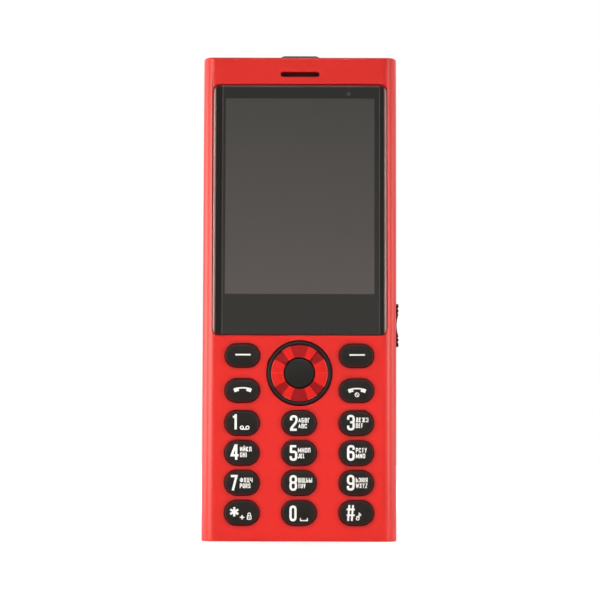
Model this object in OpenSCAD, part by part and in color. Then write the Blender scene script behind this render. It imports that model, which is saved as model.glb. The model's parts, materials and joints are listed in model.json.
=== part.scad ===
// Feature phone with a keypad, standing upright.
// The length runs along Z, the front faces -Y and the bottom end rests on Z = 0. Units are millimetres.

/* [Display] */
// Width of the lit display area
screen_w = 43.2; // [40:0.2:46]
// Height of the lit display area
screen_h = 57.6; // [54:0.2:62]
// Dark border on each side of the lit area
border_side = 3.5; // [3.4:0.1:5]
// Dark border above the lit area
border_top = 3.2; // [3.2:0.1:6]
// Dark border below the lit area
border_bottom = 11.85; // [10.5:0.05:16]
// Corner radius of the display window
window_r = 1.9; // [1.8:0.1:4.5]
// Thickness of the display window
window_t = 1; // [0.9:0.05:1.15]
// Thickness of the LCD with its tray
lcd_t = 2.2; // [2:0.1:3]

/* [Body] */
// Coloured margin on each side of the window
window_margin = 2.9; // [2.4:0.1:4]
// Height of the forehead above the window
forehead = 7.95; // [7:0.05:12]
// Height of the chin below the last key row
chin = 4.4; // [4:0.1:8]
// Rounding of the long front edges
front_edge_r = 4.5; // [3.5:0.1:5]
// Rounding of the long rear edges
rear_edge_r = 4.8; // [3.5:0.1:4.9]
// Rounding of the two top corners seen from the front
corner_r = 0.5; // [0.4:0.1:3]
// Rounding of the two foot corners seen from the front
foot_corner_r = 0.5; // [0.4:0.1:3]
// Rounding of the end edges seen from the side
end_edge_r = 0.7; // [0.4:0.1:1.2]
// Side and end walls
wall = 1.6; // [1.4:0.05:1.8]
// Wall behind the front face
front_wall = 1.8; // [1.7:0.05:2.4]
// Back wall of the battery cover
cover_wall = 1.4; // [1.2:0.05:2]

/* [Keypad] */
// Width of a key cap
key_w = 10.05; // [9:0.05:12]
// Height of a dial key cap
key_h = 7.25; // [6.5:0.05:7.5]
// Height of the four key caps beside the navigation key
menu_key_h = 6.85; // [6.3:0.05:7.5]
// Gap around a key cap in its hole
key_gap = 0.13; // [0.1:0.01:0.18]
// Distance between the key columns
key_pitch_x = 16.35; // [16:0.05:18]
// Distance between the dial key rows
key_pitch_z = 8.53; // [8.5:0.01:10]
// Distance from the first dial row up to the call row
call_step = 9.3; // [9:0.05:11]
// Distance from the call row up to the soft key row
soft_step = 10; // [9.5:0.05:12]
// Height of the key caps above the front face
key_proud = 0.5; // [0.3:0.05:1]
// Crown radius of the key caps
key_crown_r = 40; // [25:1:80]
// Travel of a key
key_travel = 0.3; // [0.2:0.05:0.4]

/* [Navigation key] */
// Outer diameter of the black rim
nav_d = 18.55; // [18:0.05:20]
// Width of the black rim
rim_w = 1.15; // [1:0.05:1.5]
// Height of the rim above the front face
rim_proud = 0.75; // [0.5:0.05:1]
// Diameter of the OK key
ok_d = 8.6; // [7.5:0.1:9]
// Height of the OK key above the front face
ok_proud = 0.8; // [0.5:0.05:1]
// Depth of the facet valleys
facet_depth = 0.42; // [0.2:0.02:0.6]
// Red gap between the navigation key and the window
nav_window_gap = 1.4; // [1:0.1:3]

/* [Volume rocker] */
// Length of the rocker
rocker_l = 12.5; // [11:0.1:14]
// Width of the rocker
rocker_w = 2.6; // [2.2:0.1:2.8]
// Height of the rocker above the side
rocker_proud = 0.62; // [0.4:0.02:0.9]
// Distance of the rocker centre above the window's lower edge
rocker_rise = 3.1; // [2:0.1:6]

/* [Openings] */
// Width of the earpiece slot
slot_w = 11.3; // [8:0.1:13]
// Height of the earpiece slot
slot_h = 1.5; // [0.9:0.05:1.8]
// Width of the torch lens
torch_w = 11.8; // [8:0.1:13]
// Depth of the torch lens
torch_d = 4; // [3:0.1:4.2]
// Height of the torch lens above the top end
torch_proud = 1.2; // [0.8:0.05:2]
// Bore radius of the headset socket
headset_r = 1.8; // [1.75:0.01:1.85]
// Width of the USB socket shell
usb_w = 7.6; // [7.4:0.05:8]
// Height of the USB socket shell
usb_t = 2.6; // [2.4:0.05:2.7]

/* [Battery] */
// Room on each side of the battery for the screws
battery_side = 8; // [7.7:0.1:11]
// Height of the battery
battery_h = 60; // [50:0.5:61]
// Thickness of the battery
battery_t = 4.9; // [4.4:0.1:6]

/* [Inside] */
// Thickness of the main board
board_t = 1; // [0.8:0.05:1.2]
// Height of the parts on the back of the board
shield_h = 1.5; // [1.2:0.1:2]
// Floor of the rear housing
floor_t = 1; // [0.9:0.05:1.5]
// Radius of the screw bosses
boss_r = 1.7; // [1.6:0.05:1.8]
// Shank radius of the housing screws
screw_r = 0.7; // [0.6:0.02:0.8]
// Side length of the loudspeaker along the width
speaker_w = 18; // [14:0.5:22]
// Side length of the loudspeaker along the height
speaker_h = 13; // [10:0.5:15]
// Outer radius of the camera turret
turret_r = 5.4; // [5.2:0.1:6]

/* [Hidden] */
$fn = 72;
crown_fn = 240;
eps = 0.01;
over = 2;
fit = 0.15;
close_fit = 0.1;
seat_gap = 0.05;

// Window and body outline
window_w = screen_w + 2 * border_side;
window_h = screen_h + border_top + border_bottom;
body_w = window_w + 2 * window_margin;
nav_gap = 0.22;
nav_hole_r = nav_d / 2 + nav_gap;
key_hole_w = key_w + 2 * key_gap;
key_hole_h = key_h + 2 * key_gap;
menu_hole_h = menu_key_h + 2 * key_gap;
key_lip = 0.35;
slot_drop = 4.97;
dial_z = [for (row = [0:3]) chin + key_hole_h / 2 + row * key_pitch_z];
call_z = dial_z[3] + call_step;
soft_z = call_z + soft_step;
nav_z = (call_z + soft_z) / 2;
window_z = max(nav_z + nav_hole_r + nav_window_gap, soft_z + menu_hole_h / 2 + nav_window_gap);
front_h = window_z + window_h + forehead;

// Parts behind the board from the battery up to the camera: the body is long enough for them too
battery_z = 34;
contact_gap = 0.9;
contact_d = 2.4;
contact_room = 0.3;
holder_rib = 1;
holder_h = 14.6;
holder_room = 0.3;
turret_room = 1.6;
camera_drop = 15;
back_h = battery_z + battery_h + contact_gap + contact_d + contact_room + holder_rib + holder_h
    + 2 * holder_room + turret_room + turret_r + camera_drop;
body_h = max(front_h, back_h);
screen_z = window_z + border_bottom + screen_h / 2;
slot_z = body_h - slot_drop;

// Depth stack from the front face to the back face
foam_t = 0.3;
tray_gap = 0.2;
front_stack = foam_t + lcd_t + tray_gap;
shield_gap = 0.3;
battery_gap = 0.1;
lid_gap = 0.3;
body_t = front_wall + front_stack + board_t + shield_h + shield_gap + floor_t + battery_gap
    + battery_t + lid_gap + cover_wall;
y_front = -body_t / 2;
y_back = body_t / 2;
y_inner = y_front + front_wall;
y_board = y_inner + front_stack;
y_board_back = y_board + board_t;
y_floor = y_board_back + shield_h + shield_gap;
y_floor_back = y_floor + floor_t;
y_battery = y_floor_back + battery_gap;
y_lid = y_battery + battery_t + lid_gap;
rim_rise = 0.7;
y_split = y_floor_back + rim_rise;
flange_t = 0.6;
y_flange = y_split + flange_t;
y_cover = y_flange + seat_gap;

// Window pocket and display stack
window_sink = 0.05;
gasket_t = 0.15;
gasket_w = 1.2;
y_window_back = y_front + window_t;
y_pocket = y_window_back + gasket_t + seat_gap;
aperture_margin = 0.9;
gasket_inset = 0.5;
tray_step = 0.2;
tray_r = 0.6;
tray_notch_w = 16;
tray_notch_h = 4;
lcd_rib_t = 0.8;
lcd_rib_l = 40;
lcd_top_rib_l = 16;
aperture_r = 1;
panel_side = 1.6;
panel_top = 1.6;
panel_foot = 4.2;
panel_t = 1.2;
tray_wall = 0.6;
y_lcd = y_inner + foam_t;
panel_w = screen_w + 2 * panel_side;
panel_h = screen_h + panel_top + panel_foot;
panel_z = screen_z + (panel_top - panel_foot) / 2;
tray_w = panel_w + 2 * tray_wall + 2 * close_fit;
tray_h = panel_h + 2 * tray_wall + 2 * close_fit;
flex_w = 14;
flex_drop = 1.4;
flex_bend = 0.8;
flex_foot = 2.6;
flex_t = 0.15;

// Earpiece behind its slot
mesh_t = 0.2;
mesh_lap = 0.8;
earpiece_side = 0.75;
earpiece_w = slot_w + 2 * earpiece_side;
earpiece_h = 5.4;
earpiece_r = 1;
earpiece_lip = 1;
earpiece_dish = 0.4;
earpiece_gap = 0.1;

// Keypad stack
flange_gap = 0.1;
key_base_t = 0.7;
y_key = y_front - key_proud;
y_key_flange = y_inner + flange_gap;
y_key_back = y_key_flange + key_base_t;
y_mat = y_key_back + key_travel + flange_gap;
mat_t = 0.5;
mat_margin = 0.3;
mat_foot = 0.9;
mat_head = 0.6;
mat_rib = 1;
mat_r = 1.5;
dome_h = 0.3;
dome_r = 2;
dome_top_r = 1.3;
dome_gap = 0.1;
nub_r = 1.1;
columns = [-key_pitch_x, 0, key_pitch_x];

// Navigation stack
nav_base_gap = 0.56;
nav_base_t = 0.4;
nav_flange = 0.5;
y_nav_base = y_inner + nav_base_gap;
y_nav_back = y_nav_base + nav_base_t;
nav_r = nav_d / 2;
rim_r = nav_r - rim_w;
ok_gap = 0.25;
ring_bore_r = ok_d / 2 + ok_gap;
pad_ridge_gap = 0.04;
pad_slope = 2.3;
y_pad = y_nav_back + pad_ridge_gap;
pad_t = 0.6;
pad_inset = 0.8;
pad_out_r = nav_r - pad_inset;
pad_ok_gap = 0.75;
pad_in_r = ring_bore_r + pad_ok_gap;
pad_nub_circle = (pad_out_r + pad_in_r) / 2;
pad_nub_gap = 0.38;
ok_crown_r = 30;
ok_lip = 0.55;
ok_flange_gap = 0.3;
y_ok_flange = y_nav_back + ok_flange_gap;
ok_flange_t = 0.35;

// Facet ring: angles of the facet edges in the first quarter and which of them are valleys
facet_quarter = [0, 30, 50, 72];
valley_quarter = [0, 0, 1, 0];
facet_angles = [for (a = facet_quarter) a, for (i = [3:-1:1]) 180 - facet_quarter[i],
    for (a = facet_quarter) 180 + a, for (i = [3:-1:1]) 360 - facet_quarter[i]];
facet_valleys = [for (v = valley_quarter) v, for (i = [3:-1:1]) valley_quarter[i],
    for (v = valley_quarter) v, for (i = [3:-1:1]) valley_quarter[i]];
facet_over = 1;
facet_gap = 0.03;
facet_top = 0.45;
facet_fall = 0.5;
facet_base = 0.9;

// Screws and bosses
screw_head_r = 1.3;
screw_head_t = 0.8;
screw_l = 4;
pilot_gap = 0.02;
pilot_extra = 0.3;
shank_gap = 0.12;
recess_w = 0.35;
recess_l = 1.4;
recess_depth = 0.4;
y_pilot = y_floor_back - screw_l - pilot_extra;
boss_gap = 0.25;
boss_inset_bottom = 4.8;
boss_inset_middle = 5;
boss_inset_top = 5.4;
boss_inset_z = 4.6;
boss_points = [for (side = [-1, 1]) each [
    [side * (body_w / 2 - boss_inset_bottom), boss_inset_z],
    [side * (body_w / 2 - boss_inset_middle), nav_z],
    [side * (body_w / 2 - boss_inset_top), body_h - boss_inset_z]]];

// Volume rocker
rocker_z = window_z + rocker_rise;
rocker_lip = 0.45;
rocker_floor_gap = 0.3;
y_rocker = y_floor - rocker_floor_gap - rocker_lip - rocker_w / 2;
rocker_slot_gap = 0.16;
rocker_r = 0.7;
rocker_saddle = 0.56;
saddle_part = 0.26;
rocker_edge_r = 0.4;
rocker_nub = 0.35;
rocker_nub_r = 0.6;
rocker_lip_t = 0.5;
rocker_lip_gap = 0.26;
x_side = body_w / 2;
x_inner = x_side - wall;
x_rocker = x_inner - rocker_lip_gap;
rocker_nub_z = 4.2;
switch_gap = 0.3;
switch_t = 0.55;
switch_w = 2;
switch_l = 2.6;
film_gap = 0.02;
x_switch = x_rocker - rocker_lip_t - rocker_nub - switch_gap;
x_film = x_switch - switch_t - film_gap - flex_t;
film_end = 0.4;
film_l = 2 * rocker_nub_z + switch_l + 2 * film_end;
ridge_count = 2;
ridge_pitch = 1.3;
ridge_r = 0.35;
ridge_inset = 1.4;
ridge_lift = 0.1;

// Top end: torch and headset socket
end_drop = 0.65;
y_end = y_floor - end_drop;
torch_gap = 0.1;
torch_lip = 0.6;
torch_lip_t = 0.8;
torch_slant = 1.2;
torch_shoulder = 0.7;
torch_r = 0.8;
torch_room = 2.8;
led_w = 3.6;
led_h = 2.2;
led_drop = 3.6;
headset_side = 13;
headset_x = body_w / 2 - headset_side;
headset_r_out = 0.4;
end_room = 0.3;
headset_l = 11.6;
headset_floor = 0.6;
headset_w = 6.2;
headset_t = 4.5;
headset_lead = 0.25;
headset_hole_r = headset_r + headset_lead;
z_top_inner = body_h - wall;
y_headset = y_split - headset_t / 2 - close_fit;

// Bottom end: USB socket and microphone
usb_l = 5.6;
usb_wall = 0.3;
usb_inset = 0.5;
usb_gap = 0.2;
usb_r = 0.6;
usb_tongue_t = 0.6;
usb_tongue_drop = 1.2;
usb_tongue_inset = 0.8;
y_usb = y_board_back + usb_t / 2;
mic_side = 16;
mic_x = -body_w / 2 + mic_side;
mic_hole_r = 0.5;
mic_w = 4;
mic_h = 3;
mic_t = 1.2;

// Back of the phone
board_gap = 0.6;
board_r = 1;
shell_r = 1;
bay_wall = 1;
bay_gap = 0.3;
bay_lip = 0.4;
bay_depth = battery_t - bay_lip;
battery_w = body_w - 2 * battery_side;
battery_r = 1;
battery_mid = battery_z + battery_h / 2;
pad_w = 1.8;
pad_depth = 0.2;
speaker_z = 20;
speaker_t = 2.8;
speaker_seat = 0.8;
speaker_rim = 0.5;
speaker_lip = 1.5;
speaker_dish = 0.6;
speaker_r = 1.2;
camera_z = body_h - camera_drop;
camera_base = 7.4;
camera_barrel_r = 3.3;
turret_in_r = 3.8;
camera_window_r = 4.6;
camera_window_t = 0.8;
turret_sink = 0.3;
window_seat = 0.1;
lens_gap = 0.3;
y_camera = y_back - turret_sink - camera_window_t - lens_gap;
holder_wall = 0.8;
holder_roof = 0.35;
holder_z = camera_z - turret_r - turret_room - holder_room - holder_h / 2;
sim_w = 14.5;
card_w = 12;
holder_strip = 1.3;
sim_x = [-sim_w - holder_strip, 0];
card_x = sim_w / 2 + holder_strip + card_w / 2;
contact_w = 10;
contact_z = battery_z + battery_h + contact_gap + contact_d / 2;
leaf_w = 1.2;
leaf_t = 1;
leaf_rise = 0.5;
leaf_pitch = 3;
leaf_gap = 0.1;
can_r = 0.8;
can_wall = 0.25;
can_top = 0.3;
big_can = [32, 26];
small_can = [24, 17];
small_can_x = -4;
low_zone_drop = 6;
low_zone_z = battery_z - low_zone_drop;
motor_r = 4;
motor_side = 11.5;
antenna_w = 14;
antenna_h = 5;
antenna_t = 0.3;
antenna_side = 15;
antenna_z = 7.6;
film_seat = 0.02;
rear_rim_t = 1.2;
flange_sink = 0.25;
tab_l = 5;
tab_t = 1;
tab_gap = 0.15;
tab_inset = 0.1;
tab_z = [0.18, 0.52, 0.86];
slot_count = 5;
sound_slot_w = 9;
sound_slot_h = 1.1;
sound_slot_pitch = 2.2;
notch_w = 11;
notch_d = 2.4;
notch_depth = 0.8;
turret_gap = 0.2;
lens_r = 1.6;
lens_depth = 1;

// Names of the key nodes with their column, the height of their row and their own height
key_places = [
    ["key_star", 0, dial_z[0], key_h], ["key_0", 1, dial_z[0], key_h], ["key_hash", 2, dial_z[0], key_h],
    ["key_7", 0, dial_z[1], key_h], ["key_8", 1, dial_z[1], key_h], ["key_9", 2, dial_z[1], key_h],
    ["key_4", 0, dial_z[2], key_h], ["key_5", 1, dial_z[2], key_h], ["key_6", 2, dial_z[2], key_h],
    ["key_1", 0, dial_z[3], key_h], ["key_2", 1, dial_z[3], key_h], ["key_3", 2, dial_z[3], key_h],
    ["call_key", 0, call_z, menu_key_h], ["end_key", 2, call_z, menu_key_h],
    ["soft_key_left", 0, soft_z, menu_key_h], ["soft_key_right", 2, soft_z, menu_key_h]];

// Extrudes a front view outline from depth y0 to depth y1
module slab(y0, y1) {
    rotate([90, 0, 0])
        translate([0, 0, -y1])
            linear_extrude(y1 - y0)
                children();
}

// Extrudes a side view outline, drawn in depth and height, from x0 to x1
module side_slab(x0, x1) {
    rotate([90, 0, 90])
        translate([0, 0, x0])
            linear_extrude(x1 - x0)
                children();
}

// Rectangle with rounded corners around the origin
module rounded_rect(w, h, r) {
    square([w - 2 * r, h], center = true);
    square([w, h - 2 * r], center = true);
    for (sx = [-1, 1], sz = [-1, 1])
        translate([sx * (w / 2 - r), sz * (h / 2 - r)])
            circle(r);
}

// Slot outline with round ends
module stadium(w, h) {
    square([w - h, h], center = true);
    for (side = [-1, 1])
        translate([side * (w - h) / 2, 0])
            circle(h / 2);
}

// Outline as wide as the body between two levels, set in from its sides, with a corner radius at each level
module section(inset, y0, y1, r0, r1) {
    half = body_w / 2 - inset;
    translate([-half, y0 + r0])
        square([2 * half, y1 - y0 - r0 - r1]);
    translate([-half + r0, y0])
        square([2 * (half - r0), r0 + eps]);
    translate([-half + r1, y1 - r1 - eps])
        square([2 * (half - r1), r1 + eps]);
    for (side = [-1, 1]) {
        translate([side * (half - r0), y0 + r0])
            circle(r0);
        translate([side * (half - r1), y1 - r1])
            circle(r1);
    }
}

// Outer shape of the closed phone
module body_block() {
    intersection() {
        linear_extrude(body_h)
            section(0, y_front, y_back, front_edge_r, rear_edge_r);
        slab(y_front - over, y_back + over)
            section(0, 0, body_h, foot_corner_r, corner_r);
        side_slab(-body_w, body_w)
            translate([0, body_h / 2])
                rounded_rect(body_t, body_h, end_edge_r);
    }
}

// Front view outline of the space inside the walls, set in by a gap
module inner_outline(gap) {
    translate([0, body_h / 2])
        square([body_w - 2 * (wall + gap), body_h - 2 * (wall + gap)], center = true);
}

module window_outline(gap) {
    translate([0, window_z + window_h / 2])
        rounded_rect(window_w + 2 * gap, window_h + 2 * gap, window_r + gap);
}

module boss_holes(r) {
    for (p = boss_points)
        translate(p)
            circle(r);
}

module key_holes(gap) {
    for (k = key_places)
        translate([columns[k[1]], k[2]])
            stadium(key_w + 2 * gap, k[3] + 2 * gap);
}

module rocker_outline(gap) {
    rounded_rect(rocker_w + 2 * gap, rocker_l + 2 * gap, rocker_r + gap);
}

module front_cover() {
    color([0.84, 0.13, 0.12])
        difference() {
            union() {
                difference() {
                    intersection() {
                        body_block();
                        translate([-body_w, y_front - over, -over])
                            cube([2 * body_w, y_split - y_front + over, body_h + 2 * over]);
                    }
                    translate([0, 0, wall])
                        linear_extrude(body_h - 2 * wall)
                            section(wall, y_inner, y_back, front_edge_r - wall, shell_r);
                }
                slab(y_inner - eps, y_floor - seat_gap)
                    boss_holes(boss_r);
                // Ribs that locate the LCD tray
                slab(y_inner - eps, y_lcd + lcd_t / 2) {
                    for (side = [-1, 1])
                        translate([side * (tray_w / 2 + fit + lcd_rib_t / 2), screen_z])
                            square([lcd_rib_t, lcd_rib_l], center = true);
                    translate([0, panel_z + tray_h / 2 + fit + lcd_rib_t / 2])
                        square([lcd_top_rib_l, lcd_rib_t], center = true);
                }
            }
            slab(y_front - over, y_pocket)
                window_outline(close_fit);
            slab(y_front - over, y_inner + over)
                translate([0, screen_z])
                    rounded_rect(screen_w + 2 * aperture_margin, screen_h + 2 * aperture_margin, aperture_r);
            slab(y_front - over, y_inner + eps) {
                key_holes(key_gap);
                translate([0, nav_z])
                    circle(nav_hole_r);
                translate([0, slot_z])
                    stadium(slot_w, slot_h);
            }
            slab(y_pilot, y_floor)
                boss_holes(screw_r + pilot_gap);
            side_slab(x_inner - over, x_side + over)
                translate([y_rocker, rocker_z])
                    rocker_outline(rocker_slot_gap);
            // Pocket behind the wall in which the rocker's lip can tilt
            side_slab(x_inner - over, x_inner)
                translate([y_rocker, rocker_z])
                    rocker_outline(rocker_lip + rocker_slot_gap);
            translate([0, y_end, z_top_inner - over])
                linear_extrude(wall + 2 * over)
                    rounded_rect(torch_w + 2 * torch_gap, torch_d + 2 * torch_gap, torch_r + torch_gap);
            translate([headset_x, y_headset, z_top_inner - over])
                cylinder(r = headset_hole_r, h = wall + 2 * over);
            translate([0, y_usb, -over])
                linear_extrude(wall + 2 * over)
                    rounded_rect(usb_w + 2 * usb_gap, usb_t + 2 * usb_gap, usb_r + usb_gap);
            translate([mic_x, y_board_back + mic_t / 2, -over])
                cylinder(r = mic_hole_r, h = wall + 2 * over);
        }
}

module display_window() {
    color([0.1, 0.1, 0.1])
        intersection() {
            linear_extrude(body_h)
                section(window_sink, y_front + window_sink, y_back, front_edge_r - window_sink, rear_edge_r);
            slab(y_front - over, y_window_back)
                window_outline(0);
        }
}

module window_gasket() {
    color([0.06, 0.06, 0.06])
        slab(y_window_back + seat_gap / 2, y_pocket - seat_gap / 2)
            difference() {
                window_outline(-gasket_inset);
                window_outline(-gasket_inset - gasket_w);
            }
}

module lcd_panel() {
    color([0.3, 0.3, 0.29])
        slab(y_lcd, y_lcd + panel_t)
            translate([0, panel_z])
                square([panel_w, panel_h], center = true);
}

module lcd_tray() {
    color([0.85, 0.85, 0.83])
        difference() {
            slab(y_lcd + tray_step, y_lcd + lcd_t)
                translate([0, panel_z])
                    rounded_rect(tray_w, tray_h, tray_r);
            slab(y_lcd - over, y_lcd + panel_t + film_gap)
                translate([0, panel_z])
                    square([panel_w + 2 * close_fit, panel_h + 2 * close_fit], center = true);
            // Gap in the lower wall for the flex
            slab(y_lcd - over, y_lcd + panel_t + film_gap)
                translate([0, panel_z - panel_h / 2])
                    square([tray_notch_w, tray_notch_h], center = true);
        }
}

module lcd_flex() {
    z0 = panel_z - panel_h / 2 - close_fit;
    z1 = z0 - flex_drop;
    z2 = z1 - flex_bend;
    z3 = z2 - flex_foot;
    y0 = y_lcd + panel_t / 2;
    y1 = y_board - flange_gap - flex_t;
    color([0.72, 0.45, 0.15])
        side_slab(-flex_w / 2, flex_w / 2)
            polygon([[y0, z0], [y0 + flex_t, z0], [y0 + flex_t, z1 + flex_t], [y1 + flex_t, z2 + flex_t],
                [y1 + flex_t, z3], [y1, z3], [y1, z2], [y0, z1]]);
}

module earpiece_mesh() {
    color([0.08, 0.08, 0.08])
        slab(y_inner + seat_gap, y_inner + seat_gap + mesh_t)
            translate([0, slot_z])
                stadium(slot_w + 2 * mesh_lap, slot_h + 2 * mesh_lap);
}

module earpiece() {
    y0 = y_inner + 2 * seat_gap + mesh_t;
    dish_w = earpiece_w - 2 * earpiece_lip;
    color([0.55, 0.55, 0.55])
        difference() {
            slab(y0, y_board - earpiece_gap)
                translate([0, slot_z + earpiece_gap])
                    rounded_rect(earpiece_w, earpiece_h, earpiece_r);
            slab(y0 - over, y0 + earpiece_dish)
                translate([0, slot_z + earpiece_gap])
                    rounded_rect(dish_w, earpiece_h - 2 * earpiece_lip, earpiece_r / 2);
        }
}

module keypad_mat() {
    z0 = dial_z[0] - key_hole_h / 2 - mat_foot;
    z1 = soft_z + menu_hole_h / 2 + mat_head;
    w = 2 * (x_film - mat_margin);
    color([0.2, 0.2, 0.21]) {
        difference() {
            union() {
                slab(y_mat, y_mat + mat_t)
                    translate([0, (z0 + z1) / 2])
                        rounded_rect(w, z1 - z0, mat_r);
                slab(y_mat + mat_t - eps, y_board - seat_gap)
                    translate([0, (z0 + z1) / 2])
                        difference() {
                            rounded_rect(w, z1 - z0, mat_r);
                            rounded_rect(w - 2 * mat_rib, z1 - z0 - 2 * mat_rib, mat_r / 2);
                        }
                slab(y_mat + mat_t - eps, y_board - dome_h - dome_gap)
                    for (k = key_places)
                        translate([columns[k[1]], k[2]])
                            circle(nub_r);
            }
            slab(y_mat - over, y_board + over) {
                translate([0, nav_z])
                    circle(nav_r + nav_flange + mat_margin);
                boss_holes(boss_r + mat_margin);
            }
        }
    }
}

// Shallow sprung dome on the board
module dome() {
    translate([0, y_board - seat_gap, 0])
        rotate([90, 0, 0])
            cylinder(r1 = dome_r, r2 = dome_top_r, h = dome_h - seat_gap);
}

module key_domes() {
    color([0.78, 0.78, 0.75]) {
        for (k = key_places)
            translate([columns[k[1]], 0, k[2]])
                dome();
        translate([0, 0, nav_z])
            dome();
        for (a = [0:90:270])
            translate([pad_nub_circle * cos(a), 0, nav_z + pad_nub_circle * sin(a)])
                dome();
    }
}

module nav_pad() {
    color([0.25, 0.25, 0.26])
        translate([0, 0, nav_z])
            difference() {
                union() {
                    // Shallow roof, highest along the vertical axis, so that the ring can rock sideways
                    intersection() {
                        slab(y_pad, y_pad + pad_t)
                            circle(pad_out_r);
                        rotate([0, 0, pad_slope])
                            translate([-over * pad_out_r, 0, -pad_out_r])
                                translate([0, y_pad, 0])
                                    cube([2 * over * pad_out_r, over, 2 * pad_out_r]);
                        rotate([0, 0, -pad_slope])
                            translate([-over * pad_out_r, 0, -pad_out_r])
                                translate([0, y_pad, 0])
                                    cube([2 * over * pad_out_r, over, 2 * pad_out_r]);
                    }
                    slab(y_pad + pad_t - eps, y_board - dome_h - pad_nub_gap)
                        for (a = [0:90:270])
                            rotate(a)
                                translate([pad_nub_circle, 0])
                                    circle(nub_r);
                }
                slab(y_pad - over, y_board + over)
                    circle(pad_in_r);
            }
}

module nav_rim() {
    crest_r = rim_w / 2;
    color([0.07, 0.07, 0.07])
        translate([0, 0, nav_z])
            rotate([-90, 0, 0])
                difference() {
                    union() {
                        translate([0, 0, y_nav_base])
                            cylinder(r = nav_r + nav_flange, h = nav_base_t);
                        translate([0, 0, y_front - rim_proud + crest_r])
                            cylinder(r = nav_r, h = y_nav_base - y_front + rim_proud - crest_r + eps);
                        translate([0, 0, y_front - rim_proud + crest_r])
                            rotate_extrude()
                                translate([nav_r - crest_r, 0])
                                    circle(crest_r);
                    }
                    translate([0, 0, y_front - over])
                        cylinder(r = rim_r, h = over + facet_base);
                    translate([0, 0, y_front - over])
                        cylinder(r = ring_bore_r, h = body_t);
                }
}

// Faceted insert: flat facets that fall outward between ridges and valleys
module nav_facets() {
    n = len(facet_angles);
    reach = rim_r + facet_over;
    y_in = y_front - facet_top;
    y_out = y_in + facet_fall;
    inner = [for (a = facet_angles) [ok_d / 4 * cos(a), y_in, ok_d / 4 * sin(a)]];
    outer = [for (i = [0:n - 1]) [reach * cos(facet_angles[i]), y_out + facet_depth * facet_valleys[i],
        reach * sin(facet_angles[i])]];
    y_low = y_front + facet_base + facet_over;
    low = [for (a = facet_angles) [reach * cos(a), y_low, reach * sin(a)]];
    hub = [[0, y_in, 0], [0, y_low, 0]];
    faces = [for (i = [0:n - 1]) each [
        [i, (i + 1) % n, n + (i + 1) % n],
        [i, n + (i + 1) % n, n + i],
        [n + i, n + (i + 1) % n, 2 * n + (i + 1) % n],
        [n + i, 2 * n + (i + 1) % n, 2 * n + i],
        [3 * n, (i + 1) % n, i],
        [3 * n + 1, 2 * n + i, 2 * n + (i + 1) % n]]];
    color([0.85, 0.12, 0.12])
        translate([0, 0, nav_z])
            intersection() {
                slab(y_front - over, y_front + facet_base - facet_gap)
                    difference() {
                        circle(rim_r - facet_gap);
                        circle(ring_bore_r);
                    }
                polyhedron(concat(inner, outer, low, hub), faces);
            }
}

module ok_key() {
    y_top = y_front - ok_proud;
    color([0.08, 0.08, 0.08])
        translate([0, 0, nav_z])
            intersection() {
                union() {
                    slab(y_top, y_ok_flange + eps)
                        circle(ok_d / 2);
                    slab(y_ok_flange, y_ok_flange + ok_flange_t)
                        circle(ok_d / 2 + ok_lip);
                    slab(y_ok_flange, y_board - dome_h - dome_gap - key_travel)
                        circle(nub_r);
                }
                translate([0, y_top + ok_crown_r, 0])
                    sphere(ok_crown_r, $fn = crown_fn);
            }
}

module keycap(h) {
    color([0.14, 0.13, 0.13])
        intersection() {
            union() {
                slab(y_key, y_key_flange + eps)
                    stadium(key_w, h);
                slab(y_key_flange, y_key_back)
                    stadium(key_hole_w + 2 * key_lip, h + 2 * key_gap + 2 * key_lip);
            }
            translate([0, y_key + key_crown_r, 0])
                sphere(key_crown_r, $fn = crown_fn);
        }
}

module volume_rocker() {
    x_out = x_side + rocker_proud;
    reach = x_out - x_rocker;
    chord = saddle_part * rocker_l;
    saddle_r = (chord * chord + rocker_saddle * rocker_saddle) / (2 * rocker_saddle);
    color([0.1, 0.1, 0.1])
        translate([0, y_rocker, rocker_z])
            difference() {
                union() {
                    // Button with its outer edges rounded both ways
                    intersection() {
                        side_slab(x_rocker, x_out)
                            rocker_outline(0);
                        slab(-rocker_w, rocker_w)
                            translate([x_rocker, 0])
                                rounded_rect(2 * reach, rocker_l, rocker_edge_r);
                        translate([x_rocker, 0, 0])
                            linear_extrude(2 * rocker_l, center = true)
                                rounded_rect(2 * reach, rocker_w, rocker_edge_r);
                    }
                    side_slab(x_rocker - rocker_lip_t, x_rocker + eps)
                        rocker_outline(rocker_lip);
                    for (side = [-1, 1])
                        side_slab(x_rocker - rocker_lip_t - rocker_nub, x_rocker)
                            translate([0, side * rocker_nub_z])
                                circle(rocker_nub_r);
                }
                // Saddle between the two lobes
                translate([x_out + saddle_r - rocker_saddle, 0, 0])
                    rotate([90, 0, 0])
                        cylinder(r = saddle_r, h = 2 * rocker_w, center = true);
                // Grooves between the grip ridges of each lobe
                for (side = [-1, 1], i = [0:ridge_count - 1])
                    translate([x_out + ridge_lift, 0, side * (rocker_l / 2 - ridge_inset - i * ridge_pitch)])
                        rotate([90, 0, 0])
                            cylinder(r = ridge_r, h = 2 * rocker_w, center = true);
            }
}

module volume_switches() {
    color([0.8, 0.8, 0.78])
        for (side = [-1, 1])
            side_slab(x_switch - switch_t, x_switch)
                translate([y_rocker, rocker_z + side * rocker_nub_z])
                    square([switch_w, switch_l], center = true);
}

module volume_flex() {
    color([0.72, 0.45, 0.15])
        side_slab(x_film, x_film + flex_t)
            translate([y_rocker, rocker_z])
                square([switch_w, film_l], center = true);
}

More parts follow.
